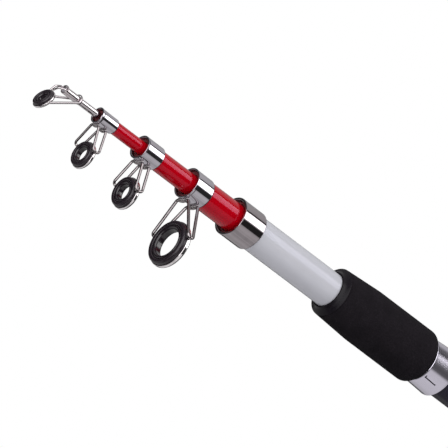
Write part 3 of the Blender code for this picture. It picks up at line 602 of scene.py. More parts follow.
def smooth_piece(name, mesh, place=None, sharp=SHARP):
    """Turn a mesh's faces outwards, shade it smooth and make it an object."""
    work = bmesh.new()
    work.from_mesh(mesh)
    bmesh.ops.recalc_face_normals(work, faces=work.faces)
    work.to_mesh(mesh)
    work.free()
    if place is not None:
        mesh.transform(place)
    made = bpy.data.objects.new(name, mesh)
    bpy.context.scene.collection.objects.link(made)
    even_normals(made, sharp)
    return made


print("edges stay sharp from", round(math.degrees(SHARP)), "degrees")

# %% The lathe
ROUND = 128              # faces round a turned piece
ON_AXIS = 1e-9


def lathe(name, path, faces=ROUND, angles=None, place=None, reshape=None, sharp=SHARP):
    """Turn a path of (x, radius) points about X, and put the mesh in its place.

    A path that starts and ends on the axis makes a solid, and any other is joined into a tube.
    """
    solid = path[0][1] < ON_AXIS
    rings = path[1:-1] if solid else path
    angles = angles or [math.tau * face / faces for face in range(faces)]
    points = []
    for angle in angles:
        for x, radius in rings:
            if reshape:
                x, radius = reshape(x, radius, angle)
            points.append((x, radius * math.cos(angle), radius * math.sin(angle)))
    count = len(rings)
    quads = []
    for face in range(len(angles)):
        here, onward = face * count, (face + 1) % len(angles) * count
        for step in range(count - 1 if solid else count):
            after = (step + 1) % count
            quads.append((here + step, here + after, onward + after, onward + step))
        if solid:
            tip, tail = len(points), len(points) + 1
            quads.append((tip, here, onward))
            quads.append((tail, onward + count - 1, here + count - 1))
    if solid:
        points += [(path[0][0], 0.0, 0.0), (path[-1][0], 0.0, 0.0)]
    mesh = bpy.data.meshes.new(name)
    mesh.from_pydata(points, [], quads)
    return smooth_piece(name, mesh, place, sharp)


print("a turned piece has", ROUND, "faces round")

# %% [markdown]
# Every piece is dressed in the same way: it gets its material, rides on the body that it moves
# with, and stands for the solids that it replaces.

# %% Dress a piece
def dress(piece, material, body, slot, *nodes):
    """Give a piece its finish, let it ride on its body and stand for its solids."""
    piece.data.materials.append(material)
    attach(piece, body)
    if nodes:
        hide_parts(*nodes)
    return piece


def turn_piece(name, outline, material, body, slot, *nodes, steps=6, closed=True, **settings):
    """Turn a piece from an outline with rounded corners, and dress it."""
    return dress(lathe(name, soften(outline, steps, closed), **settings), material, body, slot, *nodes)


def plain_tube(solid, *roundings):
    """The outline of a tube, with its roundings from the outer front edge to the inner front edge."""
    edges = ((solid.front, solid.outer), (solid.rear, solid.outer), (solid.rear, solid.bore),
             (solid.front, solid.bore))
    return [(*edge, rounding) for edge, rounding in zip(edges, roundings)]


# %% [markdown]
# ## The sections
#
# Each section is a tube whose bore narrows at the tip end, to lock the next section when it is
# drawn out, and whose own butt end swells for the same reason. The outline takes all of that from
# the solid. The edge of the mouth and the bore show bare laminate.

# %% Blanks
MOUTH_EDGE = 0.2 * MM
MOUTH_LENGTH = 24 * MM
CONE_LENGTH = 4 * MM
SWELL_LENGTH = 20 * MM
SWELL_BEND = 8 * MM
LEAST_SWELL = 0.3 * MM


def bare_inside(piece, material, outer, front):
    """Show bare material where a tube's faces lie inside its skin or on its cut front."""
    piece.data.materials.append(material)
    for face in piece.data.polygons:
        radius = math.hypot(face.center.y, face.center.z)
        on_front = face.center.x > front - MOUTH_EDGE and abs(face.normal.x) > 0.5
        if radius < outer - 2 * MOUTH_EDGE or on_front:
            face.material_index = 1


def section(node, body, slot, material):
    """A hollow section with its narrow mouth and its thick butt end."""
    front, rear, swell, mouth = turned(node)
    skin = outer_at(node, front)
    corners = corners_of(node)
    bore = radii_of(corners[np.abs(corners[:, 0] - rear) < MM]).min()
    outline = [(front, skin, MOUTH_EDGE)]
    if swell - skin > LEAST_SWELL:
        outline += [(rear + SWELL_LENGTH + CONE_LENGTH, skin, SWELL_BEND),
                    (rear + SWELL_LENGTH, swell, SWELL_BEND)]
    outline += [(rear, swell, MOUTH_EDGE), (rear, bore, MOUTH_EDGE),
                (front - MOUTH_LENGTH, bore), (front - MOUTH_LENGTH + CONE_LENGTH, mouth),
                (front, mouth, MOUTH_EDGE)]
    piece = turn_piece(node.replace("_blank", "_section"), outline, material, body, slot, node)
    bare_inside(piece, bare_laminate, skin, front)


section("butt_blank", "handle", "white_lacquer", grey_lacquer)
for name in ("fourth", "third", "second"):
    section(name + "_blank", name + "_section", "red_lacquer", red_lacquer)
    print(name, "section, mm:", [round(float(value) / MM, 2) for value in turned(name + "_blank")])

# %% [markdown]
# ## The ferrules
#
# A ferrule is a short steel tube that guards the cut end of a section and carries its line guide.
# Its front is rolled over into a smooth lip, and its rear is chamfered down to the lacquer.

# %% Ferrules
REAR_CHAMFER = 0.5 * MM
LIP_ROUND, LIP_LENGTH = 0.2, 2.2         # in thicknesses of the wall at the lip


def ferrule(node, body, metal=ferrule_chrome_painted_lighter):
    """A steel ferrule with a rolled lip and a chamfered rear."""
    front, rear, lip, bore = turned(node)
    skin = outer_at(node, rear)
    wall = lip - bore
    lip_round = LIP_ROUND * wall
    outline = [(front, lip, lip_round), (front - LIP_LENGTH * wall, skin + 0.3 * (lip - skin), 3 * wall),
               (rear + REAR_CHAMFER, skin, REAR_CHAMFER), (rear, skin - 0.6 * (skin - bore), 0.1 * MM),
               (rear, bore), (front, bore, lip_round)]
    turn_piece(node + "_shell", outline, metal, body, "ferrule_chrome", node)


ferrule("ferrule_4", "handle", ferrule_chrome)
for number, name in ((3, "fourth"), (2, "third"), (1, "second")):
    ferrule("ferrule_%d" % number, name + "_section")
print("ferrules made: 4")

# %% [markdown]
# ## The guide rings
#
# A ring is three pieces pressed into each other: a steel cup, a black shock ring of plastic and a
# ceramic insert. It hangs turned and tilted, so its centre and axis are measured first. Every
# corner of the solid's rim lies on a circle, so their mean is the centre, and the direction in
# which they spread least is the axis.

# %% Measure a ring
Ring = namedtuple("Ring", "place outer bore front rear")


def ring_of(*nodes):
    """Read the place, radii and faces of one or more round pieces that share an axis."""
    corners = np.concatenate([corners_of(node) for node in nodes])
    centre = corners.mean(axis=0)
    axis = Vector(np.linalg.svd(corners - centre, full_matrices=False)[2][2])
    if axis.x < 0:
        axis.negate()
    depth = (corners - centre) @ np.array(axis)
    radii = np.linalg.norm(corners - centre - np.outer(depth, axis), axis=1)
    middle = (depth.max() + depth.min()) / 2
    turn = Vector((1.0, 0.0, 0.0)).rotation_difference(axis).to_matrix().to_4x4()
    return Ring(Matrix.Translation(Vector(centre) + axis * float(middle)) @ turn, radii.max(), radii.min(),
                depth.max() - middle, depth.min() - middle)


for number in (1, 2, 3):
    ring = ring_of("guide_%d_cup" % number)
    print("ring", number, "outside, mm:", round(2 * ring.outer / MM, 2))

# %% [markdown]
# The cup is a drawn dish with a rolled rim that holds the black ring from behind. The shock ring
# bulges in front of it, and a fine groove parts it from the ceramic, whose bore is rounded like
# the inside of a doughnut.

# %% Make the rings
CUP_WALL = 0.4 * MM
DISH_ROUND = 1.15 * MM   # the cup's back edge, where the ring is deep enough for it


def guide_ring(prefix, body):
    """The cup, shock ring and insert of one guide."""
    cup, liner, insert = [ring_of(prefix + ending) for ending in ("_cup", "_liner", "_insert")]
    rim, hem = 0.48 * CUP_WALL, 0.45 * CUP_WALL
    floor_front, inside = cup.rear + CUP_WALL, cup.outer - CUP_WALL
    dish_round = min(0.85 * (cup.front - cup.rear), DISH_ROUND)
    outline = [(cup.front, cup.outer, rim), (cup.rear, cup.outer, dish_round), (cup.rear, cup.bore, hem),
               (floor_front, cup.bore, hem), (floor_front, inside, 0.75 * dish_round - 0.3 * CUP_WALL),
               (cup.front, inside, rim)]
    turn_piece(prefix + "_dish", outline, cup_chrome_painted_lighter, body, "guide_wire", prefix + "_cup", steps=8,
               place=cup.place)
    width = liner.outer - liner.bore
    outline = plain_tube(liner, 0.46 * width, 0.75 * dish_round - 0.2 * MM, 0.1 * MM, 0.3 * width)
    turn_piece(prefix + "_shock_ring", outline, liner_plastic, body, "black_plastic", prefix + "_liner",
               steps=10, place=liner.place)
    width = insert.outer - insert.bore
    outline = plain_tube(insert, 0.3 * width, 0.1 * width, 0.65 * width, 0.65 * width)
    turn_piece(prefix + "_ceramic", outline, ring_ceramic, body, "ring_ceramic", prefix + "_insert",
               steps=10, place=insert.place)
    return ring_of(prefix + "_cup", prefix + "_liner", prefix + "_insert")


RINGS = {"guide_3": "fourth_section", "guide_2": "third_section", "guide_1": "second_section",
         "tip_ring": "tip_section"}
rings = {prefix: guide_ring(prefix, body) for prefix, body in RINGS.items()}
print("rings:", ", ".join(rings))

# %% [markdown]
# ## Bending wire
#
# A guide hangs from its ferrule by one closed loop of wire: it lies round the underside of the
# ferrule at two feet and comes down to a narrow lug at each side of the ring. A curve with a round
# bevel is the natural way to draw wire. Its path is a list of corners with bend radii, as a lathe
# outline is.

# %% Draw a wire
WELD = 1e-7              # points closer than this are one


def wire(name, path, radius, place, closed=False, swell=None):
    """Sweep a round wire along a path. Swell gives its thickness at each point."""
    curve = bpy.data.curves.new(name, "CURVE")
    curve.dimensions = "3D"
    curve.bevel_depth = radius
    curve.bevel_resolution = 6
    curve.use_fill_caps = not closed
    spline = curve.splines.new("POLY")
    spline.points.add(len(path) - 1)
    spline.points.foreach_set("co", [value for point in path for value in (*point, 1.0)])
    if swell is not None:
        spline.points.foreach_set("radius", swell)
    spline.use_cyclic_u = closed
    holder = bpy.data.objects.new(name + "_curve", curve)
    bpy.context.scene.collection.objects.link(holder)
    mesh = evaluated_mesh(holder)
    bpy.data.objects.remove(holder)
    work = bmesh.new()
    work.from_mesh(mesh)
    bmesh.ops.remove_doubles(work, verts=work.verts, dist=WELD)
    work.to_mesh(mesh)
    work.free()
    mesh.name = name
    return smooth_piece(name, mesh, place)


print("points of a wire are welded within", round(WELD / MM, 6), "mm")

# %% [markdown]
# The feet and lugs repeat the sizes of the measured loops: the wire's diameter, how far the two
# feet are behind the ferrule's front, how far apart the legs leave the ferrule, and how high and
# wide the lugs are.

# %% The sizes of the loops
Loop = namedtuple("Loop", "wire front_foot rear_foot half lug_rise lug_width lug_ahead foot_bend")
# In mm, from the smallest guide to the largest
LOOPS = {1: (1.15, 2.0, 6.7, 2.6, 2.9, 3.8, 0.2, 0.9),
         2: (1.30, 3.1, 7.3, 3.6, 2.0, 4.2, 0.4, 1.0),
         3: (1.45, 2.0, 8.3, 3.7, 3.4, 3.0, 0.1, 1.2)}
SOLDER_FILM = 0.15 * MM  # solder between a wire and what it lies on
CUP_FILM = 0.3 * MM
print("wires, mm:", [Loop(*sizes).wire for sizes in LOOPS.values()])

# %% [markdown]
# Solder is drawn as a short fat wire inside the joint. Its thickness swells in the middle and is a
# little uneven, from a random generator with a fixed seed, so every run gives the same beads.

# %% Beads of solder
BEAD_POINTS, BEAD_REACH = 15, 0.36       # the bead reaches this share of the lug's width each way
FILLET_DROP, FILLET_SIZE = 0.62, 1.15    # in radii of the wire
LUG_SEED, FOOT_SEED = 7, 11


def lumpy(count, peak, low, seed):
    """Thickness along a bead of solder: thin at its ends, uneven in between."""
    random = np.random.default_rng(seed)
    share = np.linspace(0.0, 1.0, count)
    rise = np.sin(np.pi * share) ** 0.5
    return list(low + (peak - low) * rise * random.uniform(0.88, 1.1, count))


def add_lug_solder(name, lug, sizes, radius, about, body):
    """The bead that joins a lug to the cup."""
    ahead, behind = lug
    inward = Vector((0.0, -math.copysign(1.0, ahead.y), 0.0))
    middle = (ahead + behind) / 2 + inward * 0.75 * radius + Vector((0.0, 0.0, 0.2 * radius))
    reach = BEAD_REACH * sizes.lug_width
    path = [middle + Vector((reach * (1 - 2 * step / (BEAD_POINTS - 1)), 0.0, 0.0))
            for step in range(BEAD_POINTS)]
    bead = wire(name, path, radius, about, swell=lumpy(BEAD_POINTS, 1.15, 0.5, LUG_SEED))
    dress(bead, solder, body, "guide_wire")


def add_foot_solder(name, arc, radius, about, body):
    """The fillet that joins a foot to the ferrule."""
    drop = radius * FILLET_DROP
    path = [point - Vector((0.0, point.y, point.z)).normalized() * drop for point in arc]
    bead = wire(name, path, radius * FILLET_SIZE, about, swell=lumpy(len(path), 1.0, 0.55, FOOT_SEED))
    dress(bead, solder, body, "guide_wire")


print("a bead's thickness:", [round(float(value), 2) for value in lumpy(5, 1.15, 0.5, LUG_SEED)])

# %% Guide frames
def saddle(station, radius, half_angle, sense, steps=12):
    """Points of a wire laid round the rod from one side to the other."""
    points = []
    for step in range(steps + 1):
        angle = half_angle * (2 * step / steps - 1)
        points.append(Vector((station, radius * math.sin(angle), sense * radius * math.cos(angle))))
    return points


def guide_loop(number, body):
    """One guide's wire loop, in the upright attitude and then turned to its place."""
    sizes = Loop(*[value * MM for value in LOOPS[number]])
    ferrule_ends = turned("ferrule_%d" % number)
    ring = rings["guide_%d" % number]
    centre = ring.place.translation
    about = Matrix.Rotation(math.atan2(centre.y, -centre.z), 4, "X")
    reach = math.hypot(centre.y, centre.z)
    radius = sizes.wire / 2
    seat = ferrule_ends.outer + radius + SOLDER_FILM
    half_angle = math.asin(sizes.half / seat)
    lug_y = ring.outer + CUP_FILM + radius
    lug_z = sizes.lug_rise - reach
    middle = centre.x + sizes.lug_ahead
    ahead, behind = middle + sizes.lug_width / 2, middle - sizes.lug_width / 2
    bend_radius = 0.48 * sizes.lug_width
    fore = saddle(ferrule_ends.front - sizes.front_foot, seat, half_angle, -1)
    aft = saddle(ferrule_ends.front - sizes.rear_foot, seat, half_angle, -1)[::-1]
    near = [Vector((ahead, lug_y, lug_z)), Vector((behind, lug_y, lug_z))]
    far = [Vector((behind, -lug_y, lug_z)), Vector((ahead, -lug_y, lug_z))]
    foot = [sizes.foot_bend] + [0.0] * (len(fore) - 2) + [sizes.foot_bend]
    path = bend(fore + near + aft + far, foot + [bend_radius] * 2 + foot + [bend_radius] * 2, closed=True)
    dress(wire("guide_%d_loop" % number, path, radius, about, closed=True), wire_chrome_painted_darker, body, "guide_wire",
          "guide_%d_frame" % number)
    for side, lug in (("near", near), ("far", far[::-1])):
        add_lug_solder("guide_%d_%s_solder" % (number, side), lug, sizes, radius, about, body)
    for end, arc in (("front", fore), ("rear", aft[::-1])):
        add_foot_solder("guide_%d_%s_solder" % (number, end), arc, radius, about, body)


for number, body in ((3, "fourth_section"), (2, "third_section"), (1, "second_section")):
    guide_loop(number, body)
print("guide loops made: 3")

# %% [markdown]
# ## The tip top
#
# The tip ring is carried ahead of a steel tube that is glued on the thin tip. Two fine arms bend
# over the front of the tube and lie along the top of the ring, and two stouter legs run from the
# rear of the tube to the ring's sides.

# %% Tip pieces
top_tube = turned("tip_top_tube")
outline = plain_tube(top_tube, 0.25 * MM, 0.3 * MM, 0.0, 0.1 * MM)
turn_piece("tip_tube", outline, tip_chrome_painted_lighter, "tip_section", "guide_wire", "tip_top_tube")
outline = plain_tube(turned("tip_sleeve"), 0.1 * MM, 0.1 * MM, 0.0, 0.0)
turn_piece("tip_collar", outline, tip_chrome_painted_lighter, "tip_section", "guide_wire", "tip_sleeve")
tip = turned("tip_blank")
skin = outer_at("tip_blank", tip.front)
outline = [(tip.front, 0.0), (tip.front, skin, 0.3 * MM),
           (tip.rear + SWELL_LENGTH + CONE_LENGTH, skin, SWELL_BEND),
           (tip.rear + SWELL_LENGTH, tip.outer, SWELL_BEND), (tip.rear, tip.outer, 0.3 * MM),
           (tip.rear, 0.0)]
turn_piece("tip_rod", outline, grey_lacquer, "tip_section", "white_lacquer", "tip_blank", closed=False)
print("tip, mm:", [round(float(value) / MM, 2) for value in tip])

# %% [markdown]
# The wires of the tip are flattened where they lie on the tube, so each one is lowered there and
# made thinner. They are bent in an upright attitude, like the other guides, and then turned round
# the rod to their place.

# %% Bend a wire of the tip
PRESSED = 0.5            # how much of a wire's radius is pressed into the top of the tube

ring = rings["tip_ring"]
about = Matrix.Rotation(math.atan2(ring.place.translation.y, -ring.place.translation.z), 4, "X")


def press(path, radius):
    """Lower a wire onto the tube's top and return its path with its thickness at each point."""
    pressed, swell = [], []
    for point in path:
        from_axis = Vector((0.0, point.y, point.z))
        high = max(point.z / from_axis.length, 0.0) ** 2 if point.x < top_tube.front else 0.0
        pressed.append(point - from_axis.normalized() * radius * PRESSED * high)
        swell.append(1.0 - PRESSED * high)
    return pressed, swell


def tip_wire(name, corners, bends, diameter):
    """Bend a wire of the tip top, press it on the tube, dress it and return its path."""
    path, swell = press(bend(corners, bends), diameter / 2)
    dress(wire(name, path, diameter / 2, about, swell=swell), tip_chrome_painted_lighter, "tip_section", "guide_wire",
          name.replace("tip_", "tip_top_"))
    return path


print("tip ring, mm:", round(2 * ring.outer / MM, 2), "across")

# %% The arms
ARM = 0.9 * MM
ARM_HALF, ARM_LEAN = 0.9 * MM, math.radians(-23)
ARM_WRAP, ARM_BEHIND = math.radians(80), 0.7 * MM
CREST_AHEAD, CREST_HALF, CREST_SIDE, CREST_DEPTH = 2.8 * MM, 1.4 * MM, -1.1 * MM, 0.7 * MM
SHOULDER_AHEAD = 0.6 * MM
CREST_BEND, SHOULDER_BEND, SADDLE_BEND = 1.2 * MM, 0.8 * MM, 0.6 * MM

level_place = about.inverted() @ ring.place
centre = level_place.translation
forward = level_place.to_3x3() @ Vector((1.0, 0.0, 0.0))
sideways = Vector((-forward.y, forward.x, 0.0)).normalized()
upward = forward.cross(sideways)
outward = upward * math.cos(ARM_LEAN) + sideways * math.sin(ARM_LEAN)
across = sideways * math.cos(ARM_LEAN) - upward * math.sin(ARM_LEAN)
end = centre + outward * math.sqrt((ring.outer + ARM / 2 + CUP_FILM) ** 2 - ARM_HALF ** 2)
crest = Vector((top_tube.front + CREST_AHEAD, CREST_SIDE, -CREST_DEPTH))
apart = Vector((0.0, CREST_HALF, 0.0))
over = saddle(top_tube.front - ARM_BEHIND, top_tube.outer + ARM / 2 + SOLDER_FILM, ARM_WRAP, 1)
shoulders = [Vector((top_tube.front + SHOULDER_AHEAD, point.y, point.z)) for point in (over[0], over[-1])]
arms = [end - across * ARM_HALF, crest - apart, shoulders[0], *over, shoulders[1], crest + apart,
        end + across * ARM_HALF]
flat = [0.0] * (len(over) - 2)
half_bends = [0.0, CREST_BEND, SHOULDER_BEND, SADDLE_BEND]
arm_path = tip_wire("tip_arms", arms, half_bends + flat + half_bends[::-1], ARM)
print("arms reach", round((end.x - top_tube.front) / MM, 1), "mm ahead of the tube")

# %% The legs
LEG = 1.1 * MM
LEG_WRAP, LEG_BEHIND = math.radians(100), 9.3 * MM
LEG_FILM, LEG_CUP_FILM = 0.3 * MM, 0.6 * MM

side = sideways * (ring.outer + LEG / 2 + LEG_CUP_FILM)
over = saddle(top_tube.front - LEG_BEHIND, top_tube.outer + LEG / 2 + LEG_FILM, LEG_WRAP, 1)
tip_wire("tip_legs", [centre - side, *over, centre + side], [0.0, SADDLE_BEND, *flat, SADDLE_BEND, 0.0],
         LEG)
print("legs reach", round((centre.x - top_tube.front) / MM, 1), "mm ahead of the tube")

# %% Solder where the wires meet the ring
BEAD_RADIUS, BEAD_START, BEAD_STEP = 0.55 * MM, 0.1 * MM, 0.12 * MM
BEAD_SWELL = [0.5, 0.85, 1.0, 1.05, 1.0, 0.8]

for name, points in (("tip_near_bead", (arm_path[-1], centre + side)),
                     ("tip_far_bead", (arm_path[0], centre - side))):
    for count, point in enumerate(points):
        inward = (centre - point).normalized()
        path = [point + inward * (BEAD_START + BEAD_STEP * step) for step in range(len(BEAD_SWELL))]
        bead = wire("%s_%d" % (name, count + 1), path, BEAD_RADIUS, about, swell=BEAD_SWELL)
        dress(bead, solder, "tip_section", "guide_wire")
print("beads at the tip ring: 4")

# %% [markdown]
# ## The foam grips
#
# The foregrip is a plain barrel of foam with a soft shoulder at its nose, and a shallow dish round
# the blank in its front face. The rear grip is waisted for the heel of the hand. Both are turned
# from an outline, with wide roundings where the stone left a slow curve. They give a little when
# pressed.

# %% The foregrip
FACE_DEPTH = 2.6 * MM    # how far the front face leans back to its rim
TAPER_LENGTH = 24 * MM   # behind the front, where the grip has its full thickness
# The nose's rim and groove: mm behind the front, mm outside the nose's radius, mm of rounding
NOSE = ((2.6, 0.0, 0.2), (2.95, -0.05, 0.1), (3.2, -0.4, 0.15), (3.6, 0.05, 0.4))

grip = turned("foregrip")
nose = outer_at("foregrip", grip.front, 4 * MM)
outline = [(grip.front, grip.bore), (grip.front, grip.bore + 0.5 * MM, 0.3 * MM),
           (grip.front - 0.45 * FACE_DEPTH, grip.bore + 1.4 * MM, 3 * MM),
           (grip.front - 0.9 * FACE_DEPTH, nose - 0.3 * MM, 0.3 * MM)]
outline += [(grip.front - back * MM, nose + out * MM, rounding * MM) for back, out, rounding in NOSE]
outline += [(grip.front - TAPER_LENGTH, grip.outer, 60 * MM), (grip.rear, grip.outer, 3.2 * MM),
            (grip.rear, grip.bore)]
foregrip = turn_piece("foam_foregrip", outline, ground_foam, "handle", "foam", "foregrip", steps=10)
foregrip.data.materials.append(cut_face)
for face in foregrip.data.polygons:
    if 0.1 * FACE_DEPTH < grip.front - face.center.x < 0.98 * FACE_DEPTH:
        face.material_index = 1
print("foregrip, mm:", round((grip.front - grip.rear) / MM, 1))

# %% The rear grip
NECK_END, WAIST_START, WAIST_END, HEEL_START = 14 * MM, 42 * MM, 92 * MM, 138 * MM

rear = turned("rear_grip")
neck = outer_at("rear_grip", rear.front, 4 * MM)
waist = outer_at("rear_grip", rear.front - WAIST_START)
outline = [(rear.front, neck, 1.7 * MM), (rear.front - NECK_END, neck + 0.2 * MM, 20 * MM),
           (rear.front - WAIST_START, waist, 40 * MM), (rear.front - WAIST_END, waist, 40 * MM),
           (rear.front - HEEL_START, rear.outer, 60 * MM), (rear.rear, rear.outer, 1.7 * MM),
           (rear.rear, rear.bore), (rear.front, rear.bore)]
rear_foam = turn_piece("foam_rear_grip", outline, ground_foam, "handle", "foam", "rear_grip", steps=12)
print("rear grip, mm:", round((rear.front - rear.rear) / MM, 1))

# %% [markdown]
# ## The reel seat
#
# The seat is a moulded barrel, cut flat underneath where the foot of the reel lies. A steel hood
# at its front takes one end of the foot. The other end goes under a hood that slides, and a fluted
# nut on the barrel's thread drives it forward. The land and the thread are both shaped by one rule
# that moves each point of the barrel, so the thread stops where the land cuts it, as on the real
# moulding.

# %% The barrel
THREAD_PITCH = 2.5 * MM
THREAD_DEPTH = 0.6 * MM
THREAD_RADIUS = 10.0 * MM
THREAD_FRONT = -27.0 * MM
THREAD_STEEP, THREAD_ROOT = 1.9, 0.45    # how steep the ridge's flanks are, and how wide its root
THREAD_STEPS, END_STEPS = 84, 112        # rings along the thread, over the land and behind it
LAND_REAR = -42.0 * MM
LAND_DEPTH, FOOT_DEPTH = 9.3 * MM, 9.0 * MM
HOOD_MOUTHS = (-25.7 * MM, 25.7 * MM)
HAIR = 0.01 * MM         # rings this far to each side of a step keep it sharp
SAME_ANGLE = 0.02

barrel = turned("seat_barrel")
land_edges = [math.acos(depth / barrel.outer) for depth in (LAND_DEPTH, FOOT_DEPTH)]
print("land is", round(2 * barrel.outer * math.sin(land_edges[0]) / MM, 1), "mm wide")


def barrel_shape(x, radius, angle):
    """Cut the thread into the barrel's outside, and the land into its underside."""
    if radius > barrel.bore + 0.2 * MM:
        if x < THREAD_FRONT:
            turns = ((x - THREAD_FRONT) / THREAD_PITCH + angle / math.tau) % 1.0
            crest = min(max(THREAD_STEEP * (1 - abs(2 * turns - 1)) - THREAD_ROOT, 0.0), 1.0)
            run_in = min((THREAD_FRONT - x) / THREAD_PITCH, 1.0)
            radius = THREAD_RADIUS - THREAD_DEPTH + THREAD_DEPTH * crest * run_in
        if x > LAND_REAR:
            under_hood = not HOOD_MOUTHS[0] < x < HOOD_MOUTHS[1]
            depth = FOOT_DEPTH if under_hood else LAND_DEPTH
            below = -math.sin(angle)
            if below > 0 and radius * below > depth:
                radius = depth / below
    return x, radius


def steps_between(start, end, count):
    """Evenly spaced stations from one end to the other."""
    return [start + (end - start) * step / count for step in range(count + 1)]


stations = [barrel.front, barrel.front - 0.4 * MM, HOOD_MOUTHS[1] + HAIR, HOOD_MOUTHS[1] - HAIR, 0.0,
            HOOD_MOUTHS[0] + HAIR, HOOD_MOUTHS[0] - HAIR, THREAD_FRONT + HAIR,
            *steps_between(THREAD_FRONT - HAIR, LAND_REAR + HAIR, THREAD_STEPS),
            *steps_between(LAND_REAR - HAIR, barrel.rear, END_STEPS)]
barrel_path = [(x, barrel.outer) for x in stations]
barrel_path += [(barrel.rear, barrel.bore), (barrel.front, barrel.bore)]
down = 1.5 * math.pi
exact = sorted(down + sense * edge for edge in land_edges for sense in (-1, 1))
even = [math.tau * face / ROUND for face in range(ROUND)]
angles = sorted(exact + [value for value in even
                         if min(abs(value - edge) for edge in exact) > SAME_ANGLE])
piece = lathe("threaded_barrel", barrel_path, angles=angles, reshape=barrel_shape, sharp=math.radians(20))
dress(piece, seat_plastic, "handle", "black_plastic", "seat_barrel")
print("barrel faces:", len(piece.data.polygons))

# %% [markdown]
# The fixed hood is spun from sheet: its front is turned in round the barrel, its mouth opens a
# little, and both rims are rolled. A small hooked slit in its side shows where its locking tab was
# pressed in. A Boolean modifier cuts the slit with a bar of the slit's own shape, and the result is
# kept as the mesh.

# %% Spin the fixed hood
FLARE = 0.46 * MM        # how much the nose is drawn in
SHEET = 0.8 * MM
LIP = 1.0 * MM           # thickness of the front that is turned in
HOOD_SHARP = math.radians(30)

hood = turned("fixed_hood")
hood_nose = outer_at("fixed_hood", hood.front) - FLARE
hood_bore = barrel.outer + 0.1 * MM
outline = [(hood.front, hood_nose - 0.08 * MM, 0.4 * MM), (hood.front - 1.1 * MM, hood_nose, 0.3 * MM),
           (hood.rear + 1.1 * MM, hood.outer - 0.06 * MM, 0.2 * MM),
           (hood.rear + 0.55 * MM, hood.outer, 0.3 * MM), (hood.rear, hood.outer - 0.02 * MM, 0.35 * MM),
           (hood.rear, hood.outer - SHEET, 0.2 * MM), (hood.front - LIP, hood_bore),
           (hood.front - LIP, hood.bore), (hood.front, hood.bore, 0.2 * MM)]
piece = lathe("spun_hood", soften(outline), sharp=HOOD_SHARP)
print("hood's nose and mouth radius, mm:", round(hood_nose / MM, 2), round(hood.outer / MM, 2))

# %% Cut the slit
SLIT_ANGLE = math.radians(-39.3)
SLIT_FRONT, SLIT_REAR = hood.front - 1.3 * MM, hood.front - 8.6 * MM
SLIT_WIDE, SLIT_DEEP, HOOK, END_HOOK = 0.6 * MM, 0.9 * MM, 1.1 * MM, 0.25 * MM
SLIT_SKEW = math.radians(-1.5)

half = SLIT_WIDE / 2
shape = [(SLIT_FRONT, half), (SLIT_FRONT, -HOOK), (SLIT_FRONT - SLIT_WIDE, -HOOK),
         (SLIT_FRONT - SLIT_WIDE, -half), (SLIT_REAR + SLIT_WIDE, -half), (SLIT_REAR, -half - END_HOOK),
         (SLIT_REAR, half)]
corners = [(x, y, height) for height in (hood_nose - SLIT_DEEP, hood_nose + MM) for x, y in shape]
count = len(shape)
caps = [tuple(range(count)), tuple(range(2 * count - 1, count - 1, -1))]
sides = [(step, step + count, (step + 1) % count + count, (step + 1) % count) for step in range(count)]
mesh = bpy.data.meshes.new("slit_bar")
mesh.from_pydata(corners, [], caps + sides)
slit_middle = Matrix.Translation(((SLIT_FRONT + SLIT_REAR) / 2, 0.0, 0.0))
skewed = slit_middle @ Matrix.Rotation(SLIT_SKEW, 4, "Z") @ slit_middle.inverted()
bar = smooth_piece("slit_bar", mesh, Matrix.Rotation(SLIT_ANGLE - math.pi / 2, 4, "X") @ skewed)
cut = piece.modifiers.new("slit", "BOOLEAN")
cut.operation = "DIFFERENCE"
cut.object = bar
keep_result(piece)
bpy.data.objects.remove(bar)
even_normals(piece, HOOD_SHARP)
dress(piece, brushed_steel, "handle", "hood_steel", "fixed_hood")
print("hood faces:", len(piece.data.polygons))

# %% Paint shade into the slit with the barrel's dark plastic
piece.data.materials.append(seat_plastic)
slit_way = Vector((0.0, math.cos(SLIT_ANGLE), math.sin(SLIT_ANGLE)))
for face in piece.data.polygons:
    way = Vector((0.0, face.center.y, face.center.z)).normalized()
    near_slit = way.dot(slit_way) > 0.99 and SLIT_REAR - MM < face.center.x < SLIT_FRONT + MM
    # The steel walls of the slit take the dark nylon: painted shade inside the slit.
    if near_slit and way.dot(face.normal) < 0.9:
        face.material_index = 1
print("slit faces:", sum(face.material_index for face in piece.data.polygons))

# %% [markdown]
# The moving hood is a short steel tube with a raised band at each end. A pocket in its front takes
# the rear of the reel's foot, and a soft lining keeps the foot from rattling there. Behind the hood
# lies a washer, so that the turning nut doesn't wear it, and a trim ring covers the joint between
# barrel and rear grip. All four are round, so the lathe makes them from a few corners each.

# %% Trim ring, moving hood, lining, washer
POCKET_LENGTH, POCKET_DEPTH = 9.0 * MM, 0.6 * MM
BAND, GROOVE_DEPTH = 1.0 * MM, 0.25 * MM     # raised bands at both ends of the moving hood

outline = plain_tube(turned("seat_trim_ring"), 1.0 * MM, 1.0 * MM, 0.0, 0.0)
turn_piece("trim_ring", outline, brushed_steel, "handle", "hood_steel", "seat_trim_ring", steps=8)

